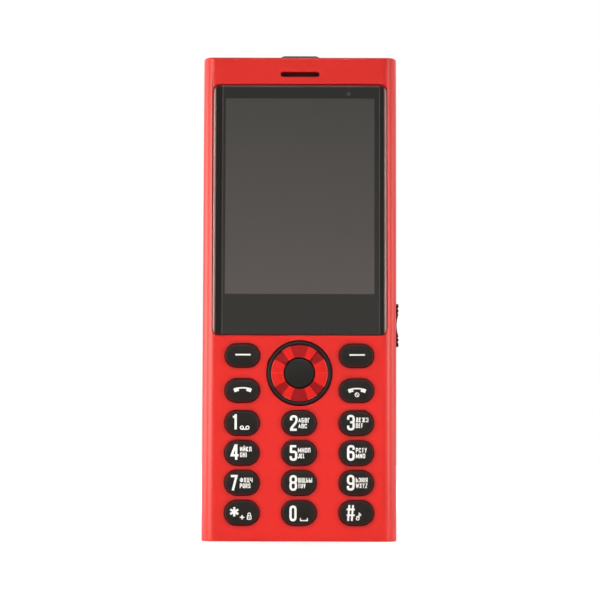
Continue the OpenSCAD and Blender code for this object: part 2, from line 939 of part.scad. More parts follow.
module main_board() {
    z0 = wall + board_gap;
    z1 = body_h - wall - board_gap;
    w = body_w - 2 * (wall + board_gap);
    notch_x = 2 * (w / 2 - x_film + end_room);
    notch_z = rocker_l + 2 * rocker_lip + 2 * end_room;
    color([0.08, 0.32, 0.2])
        slab(y_board, y_board_back)
            difference() {
                translate([0, (z0 + z1) / 2])
                    rounded_rect(w, z1 - z0, board_r);
                boss_holes(boss_r + boss_gap);
                // Notches for the headset socket, the torch lens and the volume switches
                translate([headset_x, z_top_inner])
                    square([headset_w + 2 * end_room, 2 * (headset_l + end_room)], center = true);
                translate([0, z_top_inner])
                    square([torch_w + 2 * torch_lip + 2 * end_room, 2 * torch_room], center = true);
                translate([w / 2, rocker_z])
                    square([notch_x, notch_z], center = true);
            }
}

// Thin shield lid, open towards the board
module can(size) {
    difference() {
        slab(y_board_back + seat_gap, y_board_back + shield_h)
            rounded_rect(size[0], size[1], can_r);
        slab(y_board_back - over, y_board_back + shield_h - can_top)
            rounded_rect(size[0] - 2 * can_wall, size[1] - 2 * can_wall, can_r - can_wall);
    }
}

module shield_cans() {
    color([0.72, 0.73, 0.74]) {
        translate([0, 0, battery_mid])
            can(big_can);
        translate([small_can_x, 0, low_zone_z])
            can(small_can);
    }
}

// Flat card holder: a low box with its mouth towards the battery and a window in its roof
module holder(w) {
    y0 = y_board_back + seat_gap;
    y1 = y_board_back + shield_h;
    difference() {
        slab(y0, y1)
            square([w, holder_h], center = true);
        slab(y0 + holder_roof, y1 - holder_roof)
            translate([0, -holder_wall])
                square([w - 2 * holder_wall, holder_h], center = true);
        slab(y0 + holder_roof, y1 + over)
            rounded_rect(w / 2, holder_h / 2, can_r);
    }
}

module sim_holders() {
    color([0.75, 0.75, 0.73])
        for (x = sim_x)
            translate([x, 0, holder_z])
                holder(sim_w);
}

module card_holder() {
    color([0.7, 0.7, 0.69])
        translate([card_x, 0, holder_z])
            holder(card_w);
}

module battery_connector() {
    color([0.12, 0.12, 0.12])
        slab(y_board_back + seat_gap, y_battery + leaf_rise + 2 * leaf_t)
            translate([0, contact_z])
                square([contact_w, contact_d], center = true);
}

module battery_contacts() {
    y0 = y_battery + leaf_rise;
    leaf_l = contact_gap - 2 * leaf_gap;
    color([0.85, 0.68, 0.3])
        for (i = [-1:1])
            slab(y0, y0 + leaf_t)
                translate([i * leaf_pitch, contact_z - contact_d / 2 - contact_gap / 2])
                    square([leaf_w, leaf_l], center = true);
}

module vibration_motor() {
    color([0.7, 0.7, 0.7])
        slab(y_board_back + seat_gap, y_board_back + shield_h)
            translate([body_w / 2 - motor_side, low_zone_z])
                circle(motor_r);
}

module camera_module() {
    color([0.1, 0.1, 0.1])
        translate([0, 0, camera_z]) {
            slab(y_board_back + seat_gap, y_floor_back - turret_gap)
                rounded_rect(camera_base, camera_base, can_r);
            difference() {
                slab(y_floor_back - turret_gap - eps, y_camera)
                    circle(camera_barrel_r);
                slab(y_camera - lens_depth, y_back)
                    circle(lens_r);
            }
        }
}

module camera_window() {
    color([0.05, 0.05, 0.06])
        slab(y_back - turret_sink - camera_window_t, y_back - turret_sink - window_seat)
            translate([0, camera_z])
                circle(camera_window_r);
}

module loudspeaker() {
    y0 = y_floor_back + speaker_seat + seat_gap;
    color([0.2, 0.2, 0.2])
        difference() {
            slab(y0, y0 + speaker_t)
                translate([0, speaker_z])
                    rounded_rect(speaker_w, speaker_h, speaker_r);
            slab(y0 + speaker_t - speaker_dish, y0 + speaker_t + over)
                translate([0, speaker_z])
                    rounded_rect(speaker_w - 2 * speaker_lip, speaker_h - 2 * speaker_lip, speaker_r);
        }
}

module speaker_gasket() {
    y0 = y_floor_back + speaker_seat + seat_gap + speaker_t + film_gap;
    color([0.12, 0.12, 0.12])
        slab(y0, y_lid - lid_gap / 2)
            translate([0, speaker_z])
                difference() {
                    rounded_rect(speaker_w, speaker_h, speaker_r);
                    rounded_rect(speaker_w - 2 * speaker_lip, speaker_h - 2 * speaker_lip, speaker_r / 2);
                }
}

module microphone() {
    color([0.75, 0.75, 0.7])
        slab(y_board_back + seat_gap, y_board_back + mic_t)
            translate([mic_x, wall + board_gap + mic_h / 2 + fit])
                square([mic_w, mic_h], center = true);
}

module usb_socket() {
    color([0.75, 0.76, 0.77])
        translate([0, y_usb + seat_gap, usb_inset])
            difference() {
                linear_extrude(usb_l)
                    rounded_rect(usb_w, usb_t, usb_r);
                difference() {
                    translate([0, 0, -over])
                        linear_extrude(usb_l + over - usb_wall)
                            rounded_rect(usb_w - 2 * usb_wall, usb_t - 2 * usb_wall, usb_r - usb_wall);
                    // Tongue with the contacts
                    translate([-usb_w / 4, usb_t / 2 - usb_wall - usb_tongue_drop, usb_tongue_inset])
                        cube([usb_w / 2, usb_tongue_t, usb_l]);
                }
            }
}

module headset_socket() {
    z0 = z_top_inner - seat_gap - headset_l;
    color([0.09, 0.09, 0.09])
        translate([headset_x, y_headset, z0])
            difference() {
                linear_extrude(headset_l)
                    rounded_rect(headset_w, headset_t, headset_r_out);
                translate([0, 0, headset_floor])
                    cylinder(r = headset_r, h = headset_l + over);
            }
}

module torch_led() {
    color([0.95, 0.9, 0.55])
        slab(y_board_back + seat_gap, y_board_back + shield_h)
            translate([0, z_top_inner - board_gap - led_drop])
                square([led_w, led_h], center = true);
}

module torch_lens() {
    color([0.42, 0.36, 0.38])
        translate([0, y_end, 0]) {
            // Lens above the top end, with slanted ends
            intersection() {
                rotate([90, 0, 0])
                    linear_extrude(2 * torch_d, center = true)
                        polygon([[-torch_w, z_top_inner - over], [torch_w, z_top_inner - over],
                            [torch_w, body_h + torch_shoulder], [torch_w / 2, body_h + torch_shoulder],
                            [torch_w / 2 - torch_slant, body_h + torch_proud],
                            [-torch_w / 2 + torch_slant, body_h + torch_proud],
                            [-torch_w / 2, body_h + torch_shoulder], [-torch_w, body_h + torch_shoulder]]);
                translate([0, 0, z_top_inner - seat_gap - eps])
                    linear_extrude(body_h)
                        rounded_rect(torch_w, torch_d, torch_r);
            }
            translate([0, 0, z_top_inner - torch_lip_t - seat_gap])
                linear_extrude(torch_lip_t)
                    rounded_rect(torch_w + 2 * torch_lip, torch_d, torch_r);
        }
}

module antenna() {
    color([0.8, 0.62, 0.3])
        slab(y_floor_back + film_seat, y_floor_back + antenna_t)
            translate([-body_w / 2 + antenna_side, antenna_z])
                rounded_rect(antenna_w, antenna_h, can_r);
}

module rear_housing() {
    bay_w = battery_w + 2 * bay_gap;
    bay_h = battery_h + 2 * bay_gap;
    color([0.1, 0.1, 0.1])
        difference() {
            union() {
                slab(y_floor, y_floor_back)
                    inner_outline(fit);
                // Rim inside the front cover and flange between the two shells
                slab(y_floor, y_flange)
                    difference() {
                        inner_outline(fit);
                        inner_outline(fit + rear_rim_t);
                    }
                slab(y_split + seat_gap, y_flange)
                    difference() {
                        section(flange_sink, flange_sink, body_h - flange_sink, foot_corner_r, corner_r);
                        inner_outline(fit + rear_rim_t);
                    }
                slab(y_floor_back - eps, y_floor_back + bay_depth)
                    translate([0, battery_mid])
                        difference() {
                            square([bay_w + 2 * bay_wall, bay_h + 2 * bay_wall], center = true);
                            square([bay_w, bay_h], center = true);
                        }
                slab(y_floor_back - eps, y_floor_back + speaker_seat)
                    translate([0, speaker_z])
                        difference() {
                            rounded_rect(speaker_w + 2 * speaker_rim, speaker_h + 2 * speaker_rim, speaker_r);
                            rounded_rect(speaker_w - 2 * speaker_lip, speaker_h - 2 * speaker_lip, speaker_r);
                        }
                slab(y_floor_back - eps, y_back - turret_sink)
                    translate([0, camera_z])
                        circle(turret_r);
            }
            // Camera well and the seat of its window
            slab(y_floor - over, y_floor_back + eps)
                translate([0, camera_z])
                    rounded_rect(camera_base + 2 * end_room, camera_base + 2 * end_room, can_r);
            slab(y_floor_back, y_back)
                translate([0, camera_z])
                    circle(turret_in_r);
            slab(y_back - turret_sink - camera_window_t - seat_gap, y_back + over)
                translate([0, camera_z])
                    circle(camera_window_r + seat_gap);
            slab(y_floor - over, y_floor_back + over)
                boss_holes(screw_r + shank_gap);
            // Openings over the card holders and for the battery connector
            slab(y_floor - over, y_floor_back + eps) {
                for (x = sim_x)
                    translate([x, holder_z])
                        square([sim_w + 2 * holder_room, holder_h + 2 * holder_room], center = true);
                translate([card_x, holder_z])
                    square([card_w + 2 * holder_room, holder_h + 2 * holder_room], center = true);
            }
            slab(y_floor - over, y_back)
                translate([0, contact_z])
                    square([contact_w + 2 * contact_room, contact_d + 2 * contact_room], center = true);
            slab(y_floor_back + eps, y_back)
                translate([0, contact_z - contact_d / 2 - contact_gap])
                    square([contact_w, 2 * contact_gap], center = true);
            // Clearances at both ends for the sockets and the torch
            slab(y_floor - over, y_split - seat_gap) {
                translate([headset_x, z_top_inner])
                    square([headset_w + 2 * end_room, 2 * (headset_l + end_room)], center = true);
                translate([0, z_top_inner])
                    square([torch_w + 2 * torch_lip + 2 * end_room, 2 * torch_room], center = true);
                translate([0, wall])
                    square([usb_w + 2 * end_room, 2 * (usb_l + usb_inset - wall + end_room)], center = true);
            }
            // Slots for the locating tabs of the battery cover
            slab(y_split - over, y_flange + over)
                tab_slots(tab_gap);
        }
}

module tab_slots(gap) {
    for (side = [-1, 1], part = tab_z)
        translate([side * (x_inner + tab_t / 2 + tab_inset), part * body_h])
            square([tab_t + 2 * gap, tab_l + 2 * gap], center = true);
}

module housing_screws() {
    color([0.6, 0.6, 0.6])
        for (p = boss_points)
            translate([p[0], 0, p[1]])
                difference() {
                    union() {
                        slab(y_floor_back - screw_l, y_floor_back + seat_gap + eps)
                            circle(screw_r);
                        slab(y_floor_back + film_seat, y_floor_back + screw_head_t)
                            circle(screw_head_r);
                    }
                    // Cross recess
                    slab(y_floor_back + screw_head_t - recess_depth, y_floor_back + over) {
                        square([recess_l, recess_w], center = true);
                        square([recess_w, recess_l], center = true);
                    }
                }
}

module battery() {
    color([0.25, 0.27, 0.3])
        difference() {
            slab(y_battery, y_battery + battery_t)
                translate([0, battery_mid])
                    rounded_rect(battery_w, battery_h, battery_r);
            // Contact pockets in the upper edge
            slab(y_battery + leaf_rise, y_battery + leaf_rise + leaf_t)
                for (i = [-1:1])
                    translate([i * leaf_pitch, battery_z + battery_h])
                        square([pad_w, 2 * pad_depth], center = true);
        }
}

module battery_cover() {
    color([0.84, 0.13, 0.12])
        difference() {
            union() {
                difference() {
                    intersection() {
                        body_block();
                        translate([-body_w, y_cover, -over])
                            cube([2 * body_w, y_back - y_cover + over, body_h + 2 * over]);
                    }
                    translate([0, 0, wall])
                        linear_extrude(body_h - 2 * wall)
                            section(wall, y_front, y_lid, shell_r, rear_edge_r - wall);
                }
                slab(y_split + tab_gap, y_cover + eps)
                    tab_slots(0);
            }
            slab(y_front, y_back + over)
                translate([0, camera_z])
                    circle(turret_r + turret_gap);
            // Sound slots
            slab(y_lid - over, y_back + over)
                for (i = [0:slot_count - 1])
                    translate([0, speaker_z + (i - (slot_count - 1) / 2) * sound_slot_pitch])
                        stadium(sound_slot_w, sound_slot_h);
            // Nail notch in the bottom edge
            translate([0, y_cover, -eps])
                linear_extrude(notch_depth)
                    stadium(notch_w, notch_d);
        }
}

front_cover();
display_window();
window_gasket();
lcd_panel();
lcd_tray();
lcd_flex();
earpiece_mesh();
earpiece();
keypad_mat();
key_domes();
nav_pad();
nav_rim();
nav_facets();
ok_key();
volume_rocker();
volume_switches();
volume_flex();
main_board();
shield_cans();
sim_holders();
card_holder();
battery_connector();
battery_contacts();
vibration_motor();
camera_module();
camera_window();
loudspeaker();
speaker_gasket();
microphone();
usb_socket();
headset_socket();
torch_led();
torch_lens();
antenna();
rear_housing();
housing_screws();
battery();
battery_cover();
for (k = key_places)
    translate([columns[k[1]], 0, k[2]]) keycap(k[3]);
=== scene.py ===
import json
import math
import bmesh
import bpy
import numpy as np
from mathutils import Matrix, Vector


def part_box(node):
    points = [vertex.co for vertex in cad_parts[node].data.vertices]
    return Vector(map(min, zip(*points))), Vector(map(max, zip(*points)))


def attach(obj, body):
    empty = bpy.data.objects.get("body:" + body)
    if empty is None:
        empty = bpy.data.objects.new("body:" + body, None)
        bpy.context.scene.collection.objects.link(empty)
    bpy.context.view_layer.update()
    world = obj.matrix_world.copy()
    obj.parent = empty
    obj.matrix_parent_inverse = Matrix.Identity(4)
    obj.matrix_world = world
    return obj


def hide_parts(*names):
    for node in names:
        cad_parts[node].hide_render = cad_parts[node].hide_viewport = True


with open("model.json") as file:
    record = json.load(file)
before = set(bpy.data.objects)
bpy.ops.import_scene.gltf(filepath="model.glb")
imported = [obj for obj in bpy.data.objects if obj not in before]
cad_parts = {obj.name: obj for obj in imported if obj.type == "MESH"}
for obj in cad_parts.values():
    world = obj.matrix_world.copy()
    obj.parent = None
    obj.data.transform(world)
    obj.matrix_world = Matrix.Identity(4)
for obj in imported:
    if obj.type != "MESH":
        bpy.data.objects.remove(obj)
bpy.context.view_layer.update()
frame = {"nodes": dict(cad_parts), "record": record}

scene = bpy.context.scene
scene.view_settings.view_transform = "Standard"
nodes = frame["nodes"]
mm = 0.001
print("frame loaded:", len(nodes), "nodes")


# Mesh tools

def newMesh(name, points, corners, sizes):
    # points are rows of x, y, z in millimetres; corners holds the point numbers of one face after another,
    # and sizes tells how many each face has
    mesh = bpy.data.meshes.new(name)
    mesh.vertices.add(len(points))
    mesh.vertices.foreach_set("co", (np.asarray(points, float) * mm).ravel())
    mesh.loops.add(len(corners))
    mesh.loops.foreach_set("vertex_index", np.asarray(corners, np.int32))
    mesh.polygons.add(len(sizes))
    mesh.polygons.foreach_set("loop_start", np.asarray(np.cumsum(sizes) - sizes, np.int32))
    mesh.update(calc_edges=True)
    return mesh


def putObject(name, mesh):
    piece = bpy.data.objects.new(name, mesh)
    scene.collection.objects.link(piece)
    return piece


def putMesh(name, points, blocks, material, smooth=True, closed=True):
    # each block is an array of faces with one face to a row
    sizes = np.repeat([block.shape[1] for block in blocks], [len(block) for block in blocks])
    mesh = newMesh(name, points, np.concatenate([block.ravel() for block in blocks]), sizes)
    if closed:  # closed shells get their faces turned outwards
        bm = bmesh.new()
        bm.from_mesh(mesh)
        bmesh.ops.recalc_face_normals(bm, faces=bm.faces)
        bm.to_mesh(mesh)
        bm.free()
    mesh.polygons.foreach_set("use_smooth", np.full(len(mesh.polygons), smooth))
    mesh.materials.append(material)
    mesh.update()
    return putObject(name, mesh)


def mount(piece, body, node):
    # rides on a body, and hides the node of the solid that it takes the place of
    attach(piece, body)
    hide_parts(node)


def readRows(data, key, width=1, kind=float):
    # one property of all elements as an array
    values = np.zeros(len(data) * width, kind)
    data.foreach_get(key, values)
    return values.reshape(-1, width) if width > 1 else values


def cornersOf(mesh):
    # point number and face number of every corner, and the size of every face
    point = readRows(mesh.loops, "vertex_index", kind=np.int32)
    first = readRows(mesh.polygons, "loop_start", kind=np.int32)
    sizes = np.diff(np.r_[first, len(point)])
    return point, np.repeat(np.arange(len(sizes)), sizes), sizes


def tubeFaces(count, size, loop=False):
    # quads between closed rings: point j of ring i joins point j + 1 and the same two of ring i + 1; a tube
    # that is no loop has one flat face on its first ring and one on its last
    i, j = np.meshgrid(np.arange(count if loop else count - 1), np.arange(size), indexing="ij")
    a = i * size + j
    b = i * size + (j + 1) % size
    up = ((i + 1) % count - i) * size
    quads = np.stack([a, b, b + up, a + up], -1).reshape(-1, 4)
    return [quads] if loop else [quads, np.arange(count * size).reshape(count, size)[[0, -1]]]


def roundedRect(width, height, radius, size):
    # each quarter turn of t is one corner arc about its own centre; a radius of half the height makes a slot
    t = (np.arange(size) + 0.5) / size * 2 * np.pi
    x = np.sign(np.cos(t)) * (width / 2 - radius) + radius * np.cos(t)
    z = np.sign(np.sin(t)) * (height / 2 - radius) + radius * np.sin(t)
    return np.c_[x, z]


def quarterRound(radius, count):
    # inset and depth of a quarter-round edge by angle t: r (1 - cos t) inwards and r (1 - sin t) deep
    t = np.radians(np.linspace(0, 90, count))
    return radius * (1 - np.cos(t)), radius * (1 - np.sin(t))


def lathe(name, profile, centre, material, size, loop=True):
    # profile rows of radius and depth, turned about the front-to-back axis through centre
    t = np.arange(size) / size * 2 * np.pi
    r, y = np.asarray(profile, float).T
    x = centre[0] + r[:, None] * np.cos(t)
    z = centre[1] + r[:, None] * np.sin(t)
    points = np.stack([x, np.broadcast_to(y[:, None], x.shape), z], -1).reshape(-1, 3)
    return putMesh(name, points, tubeFaces(len(r), size, loop), material)


def putRings(name, rings, depths, centre, material):
    # rows of x and z counted from centre, ring after ring, each ring with a row of depths
    x, z = np.concatenate(rings).T
    points = np.c_[x + centre[0], np.concatenate(depths), z + centre[2]]
    return putMesh(name, points, tubeFaces(len(rings), len(rings[0])), material)


def centreOf(name):
    # middle of a node's box in millimetres
    low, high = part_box(name)
    return np.array((low + high) / 2) / mm


def sizeOf(name):
    # lengths of a node's box in millimetres
    low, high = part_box(name)
    return np.array(high - low) / mm


# Node tools

def addNode(tree, kind, values=None, **settings):
    node = tree.nodes.new(kind)
    for key, value in settings.items():
        setattr(node, key, value)
    for key, value in (values or {}).items():
        node.inputs[key].default_value = value
    return node


def calc(tree, operation, a, b=None):
    # one Math node, whose inputs are numbers or other nodes' outputs
    node = addNode(tree, "ShaderNodeMath", operation=operation)
    for index, value in enumerate((a, b)):
        if isinstance(value, (int, float)):
            node.inputs[index].default_value = value
        elif value is not None:
            tree.links.new(value, node.inputs[index])
    return node.outputs[0]


def ramp(tree, value, start, end):
    # 0 up to start, 1 from end on, straight between them
    node = addNode(tree, "ShaderNodeMapRange", {"From Min": start, "From Max": end})
    tree.links.new(value, node.inputs["Value"])
    return node.outputs["Result"]


def mixColour(tree, factor, a, b):
    node = addNode(tree, "ShaderNodeMix", data_type="RGBA")
    tree.links.new(factor, node.inputs[0])
    for index, value in ((6, a), (7, b)):
        if isinstance(value, tuple):
            node.inputs[index].default_value = (*value, 1.0)
        else:
            tree.links.new(value, node.inputs[index])
    return node.outputs[2]


def splitPlace(tree, place):
    node = addNode(tree, "ShaderNodeSeparateXYZ")
    tree.links.new(place, node.inputs[0])
    return node.outputs["X"], node.outputs["Y"], node.outputs["Z"]


def awayFrom(tree, value, middle):
    # distance of a coordinate from a place given in millimetres
    return calc(tree, "ABSOLUTE", calc(tree, "SUBTRACT", value, middle * mm))


def farFrom(tree, a, b):
    # square root of a^2 + b^2
    return calc(tree, "SQRT", calc(tree, "ADD", calc(tree, "MULTIPLY", a, a), calc(tree, "MULTIPLY", b, b)))


def fromAxis(tree, place, centre):
    # distance from a front-to-back axis through centre
    x, _, z = splitPlace(tree, place)
    return farFrom(tree, awayFrom(tree, x, centre[0]), awayFrom(tree, z, centre[2]))


def within(tree, away, reach, soft):
    # 1 nearer than reach, 0 beyond it, over a soft edge, both in millimetres
    return ramp(tree, away, (reach + soft) * mm, (reach - soft) * mm)


def beyond(tree, away, reach, soft):
    # 0 nearer than reach, 1 beyond it
    return ramp(tree, away, (reach - soft) * mm, (reach + soft) * mm)


# Shader groups

def newGroup(name, values, outputs):
    # a Vector input, one number input for each value and number outputs
    group = bpy.data.node_groups.new(name, "ShaderNodeTree")
    group.interface.new_socket("Vector", in_out="INPUT", socket_type="NodeSocketVector")
    for label, value in values.items():
        socket = group.interface.new_socket(label, in_out="INPUT", socket_type="NodeSocketFloat")
        socket.default_value = value
    for label in outputs:
        group.interface.new_socket(label, in_out="OUTPUT", socket_type="NodeSocketFloat")
    return group, group.nodes.new("NodeGroupInput"), group.nodes.new("NodeGroupOutput")


def sendGrain(group, start, end, fine, broad):
    # height is the fine noise, drift the broad one, and roughness Rough + (broad - 0.5) Spread
    shift = calc(group, "MULTIPLY", calc(group, "SUBTRACT", broad, 0.5), start.outputs["Spread"])
    group.links.new(fine, end.inputs["Height"])
    group.links.new(calc(group, "ADD", shift, start.outputs["Rough"]), end.inputs["Roughness"])
    group.links.new(broad, end.inputs["Drift"])
    return group


def makeGrain():
    # moulded grain: a fine noise for the surface and a broad one for the drift of gloss and colour
    values = dict(Fine=4000.0, Broad=40.0, Rough=0.4, Spread=0.1)
    group, start, end = newGroup("mouldedGrain", values, ["Height", "Roughness", "Drift"])
    fine = addNode(group, "ShaderNodeTexNoise", {"Detail": 2.0, "Roughness": 0.6})
    broad = addNode(group, "ShaderNodeTexNoise", {"Detail": 4.0, "Roughness": 0.55})
    for texture, label in ((fine, "Fine"), (broad, "Broad")):
        group.links.new(start.outputs["Vector"], texture.inputs["Vector"])
        group.links.new(start.outputs[label], texture.inputs["Scale"])
    return sendGrain(group, start, end, fine.outputs["Fac"], broad.outputs["Fac"])


def makeBrush():
    # drawn metal: noise stretched along the length of the phone
    values = dict(Scale=900.0, Rough=0.35, Spread=0.2)
    group, start, end = newGroup("drawnMetal", values, ["Height", "Roughness", "Drift"])
    stretch = addNode(group, "ShaderNodeVectorMath", {1: (1.0, 1.0, 0.06)}, operation="MULTIPLY")
    group.links.new(start.outputs["Vector"], stretch.inputs[0])
    noise = addNode(group, "ShaderNodeTexNoise", {"Detail": 3.0})
    group.links.new(stretch.outputs[0], noise.inputs["Vector"])
    group.links.new(start.outputs["Scale"], noise.inputs["Scale"])
    return sendGrain(group, start, end, noise.outputs["Fac"], noise.outputs["Fac"])


def makeHatch():
    # woven hatch: height is sin(k (x + z)) times sin(k (x - z)) with k = 2 pi / pitch
    group, start, end = newGroup("wovenHatch", dict(Pitch=0.0005), ["Height"])
    x, _, z = splitPlace(group, start.outputs["Vector"])
    k = calc(group, "DIVIDE", 2 * math.pi, start.outputs["Pitch"])
    waves = []
    for sign in ("ADD", "SUBTRACT"):
        waves.append(calc(group, "SINE", calc(group, "MULTIPLY", calc(group, sign, x, z), k)))
    group.links.new(calc(group, "MULTIPLY", *waves), end.inputs["Height"])
    return group


# the key field: the outer column, how far a key reaches behind its hole's edge, the power of the fall, and
# for each block of keys its two lowest rows, its count of rows and whether it has a middle column
keyGrid = dict(
    column=centreOf("key_hash")[0], flange=0.35, fall=3.0,
    blocks=(("key_0", "key_8", 4, True), ("call_key", "soft_key_left", 2, False)))


def slotDistance(tree, across, along, width, height):
    # from a slot outline, positive outside: sqrt(max(across - half, 0)^2 + along^2) - height / 2
    over = calc(tree, "MAXIMUM", calc(tree, "SUBTRACT", across, (width - height) / 2 * mm), 0.0)
    return calc(tree, "SUBTRACT", farFrom(tree, over, along), height / 2 * mm)


def makeSurround(look):
    # nearness to the key holes: the sum of max(1 - distance / Reach, 0)^fall over the rows above and below a
    # point; the distance is from a hole's outline on either side, and x is folded onto the nearest column
    group, start, end = newGroup("keySurround", dict(Reach=0.001), ["Near"])
    x, _, z = splitPlace(group, start.outputs["Vector"])
    side = awayFrom(group, x, 0)
    outer = awayFrom(group, side, look["column"])
    total = 0.0
    for first, second, rows, middle in look["blocks"]:
        width, _, height = sizeOf(first) - 2 * look["flange"]
        base = centreOf(first)[2] * mm
        pitch = centreOf(second)[2] * mm - base
        across = calc(group, "MINIMUM", side, outer) if middle else outer
        steps = calc(group, "DIVIDE", calc(group, "SUBTRACT", z, base), pitch)
        below = calc(group, "FLOOR", steps)
        for extra in (0.0, 1.0):
            row = calc(group, "ADD", below, extra)
            along = calc(group, "MULTIPLY", calc(group, "SUBTRACT", steps, row), pitch)
            away = calc(group, "ABSOLUTE", slotDistance(group, across, along, width, height))
            near = calc(group, "SUBTRACT", 1.0, calc(group, "DIVIDE", away, start.outputs["Reach"]))
            near = calc(group, "POWER", calc(group, "MAXIMUM", near, 0.0), look["fall"])
            fromMiddle = calc(group, "ABSOLUTE", calc(group, "SUBTRACT", row, (rows - 1) / 2))
            isRow = calc(group, "LESS_THAN", fromMiddle, rows / 2)
            total = calc(group, "ADD", total, calc(group, "MULTIPLY", near, isRow))
    group.links.new(total, end.inputs["Near"])
    return group


grainGroup = makeGrain()
brushGroup = makeBrush()
hatchGroup = makeHatch()
surroundGroup = makeSurround(keyGrid)


# Material tools

materials = {}
grainDepth = 0.02  # depth of the bump in millimetres where a look has none of its own
fixedSockets = {"specular": "Specular IOR Level", "metallic": "Metallic"}


def startMaterial(name, fixed):
    # fixed holds the Principled sockets that are the same all over
    material = bpy.data.materials.new(name)
    material.use_nodes = True
    tree = material.node_tree
    shader = tree.nodes["Principled BSDF"]
    for key, value in fixed.items():
        shader.inputs[key].default_value = value
    return material, tree, shader, addNode(tree, "ShaderNodeTexCoord").outputs["Object"]


def useGroup(tree, group, vector, values):
    node = addNode(tree, "ShaderNodeGroup", values, node_tree=group)
    tree.links.new(vector, node.inputs["Vector"])
    return node


def makeMaterial(name, paint, look):
    # gloss and fine bump come from the grain; paint gives the colour, and a height if the bump has its own
    fixed = {socket: look[key] for key, socket in fixedSockets.items() if key in look}
    material, tree, shader, place = startMaterial(name, fixed)
    grain = useGroup(tree, look.get("group", grainGroup), place, look["grain"])
    colour, height = paint(tree, place, grain.outputs["Drift"], look)
    depth = look.get("depth", grainDepth) * mm
    bump = addNode(tree, "ShaderNodeBump", {"Strength": look["bump"], "Distance": depth})
    tree.links.new(colour, shader.inputs["Base Color"])
    tree.links.new(grain.outputs["Roughness"], shader.inputs["Roughness"])
    tree.links.new(grain.outputs["Height"] if height is None else height, bump.inputs["Height"])
    tree.links.new(bump.outputs["Normal"], shader.inputs["Normal"])
    materials[name] = material


def nearKeys(tree, place, reach):
    # nearness to the key holes over a reach in millimetres
    return useGroup(tree, surroundGroup, place, {"Reach": reach * mm}).outputs["Near"]


# Materials

def paintPlain(tree, place, drift, look):
    # the colour drifts between two tones
    return mixColour(tree, drift, look["dark"], look["light"]), None


finishes = {
    "chassis_black": dict(
        dark=(0.012, 0.012, 0.013), light=(0.024, 0.024, 0.025), bump=0.35,
        grain=dict(Fine=3800.0, Broad=120.0, Rough=0.58, Spread=0.14)),
    "rubber_dark": dict(
        dark=(0.016, 0.016, 0.017), light=(0.030, 0.030, 0.031), bump=0.25,
        grain=dict(Fine=3000.0, Broad=150.0, Rough=0.72, Spread=0.12)),
    "lcd_glass": dict(
        dark=(0.05, 0.05, 0.05), light=(0.07, 0.068, 0.065), bump=0.02,
        grain=dict(Fine=2500.0, Broad=60.0, Rough=0.12, Spread=0.06)),
    "sheet_metal": dict(
        group=brushGroup, dark=(0.56, 0.56, 0.55), light=(0.74, 0.74, 0.73), bump=0.08, metallic=1.0,
        grain=dict(Scale=1400.0, Rough=0.34, Spread=0.22)),
    "gilt": dict(
        group=brushGroup, dark=(0.66, 0.44, 0.16), light=(0.86, 0.62, 0.27), bump=0.08, metallic=1.0,
        grain=dict(Scale=1600.0, Rough=0.28, Spread=0.20)),
    "flex_film": dict(
        dark=(0.36, 0.15, 0.025), light=(0.52, 0.24, 0.05), bump=0.10,
        grain=dict(Fine=2600.0, Broad=220.0, Rough=0.30, Spread=0.12)),
    "cell_grey": dict(
        dark=(0.13, 0.14, 0.155), light=(0.18, 0.19, 0.205), bump=0.12,
        grain=dict(Fine=2200.0, Broad=45.0, Rough=0.42, Spread=0.14)),
    "led_yellow": dict(
        dark=(0.78, 0.66, 0.20), light=(0.92, 0.82, 0.38), bump=0.15,
        grain=dict(Fine=4200.0, Broad=600.0, Rough=0.40, Spread=0.15)),
    "torch_smoke": dict(
        dark=(0.040, 0.022, 0.026), light=(0.070, 0.042, 0.048), bump=0.04,
        grain=dict(Fine=3000.0, Broad=260.0, Rough=0.16, Spread=0.08)),
    "print_white": dict(
        dark=(0.87, 0.87, 0.85), light=(0.95, 0.95, 0.93), bump=0.08,
        grain=dict(Fine=5200.0, Broad=500.0, Rough=0.46, Spread=0.10)),
}
for name, look in finishes.items():
    makeMaterial(name, paintPlain, look)


def paintShell(tree, place, drift, look):
    # glossy red moulding: two tones, and on the front painted shade round the key holes, darkest at their
    # edges
    onFront = calc(tree, "LESS_THAN", splitPlace(tree, place)[1], 0.0)
    # painted shade round the key holes: its share grows with the nearness to their outlines
    shadeShare = calc(tree, "MULTIPLY", nearKeys(tree, place, look["reach"]), look["shadeShare"])
    colour = mixColour(tree, drift, look["dark"], look["light"])
    return mixColour(tree, calc(tree, "MULTIPLY", shadeShare, onFront), colour, look["paintedShade"]), None


makeMaterial("shell_red", paintShell, dict(
    dark=(0.635, 0.0112, 0.0066), light=(0.715, 0.0154, 0.0092), bump=0.04, specular=0.35,
    # reach, share and colour of the painted shade round the key holes
    reach=2.0, shadeShare=0.5, paintedShade=(0.06, 0.001, 0.001),
    grain=dict(Fine=5200.0, Broad=30.0, Rough=0.30, Spread=0.08)))


def paintWoven(tree, place, drift, look):
    # the woven hatch shifts the tone and makes the bump; along the key holes' edge the rim tone paints shade
    # tinted by red light from the shell
    hatch = useGroup(tree, hatchGroup, place, {"Pitch": look["pitch"] * mm}).outputs["Height"]
    tone = calc(tree, "ADD", calc(tree, "MULTIPLY", hatch, look["weave"]), drift)
    colour = mixColour(tree, tone, look["dark"], look["light"])
    # painted shade tinted by red light from the shell, near the key holes' outlines
    if "rim" in look:
        colour = mixColour(tree, nearKeys(tree, place, look["rimShadeReach"]), colour, look["rim"])
    return colour, hatch


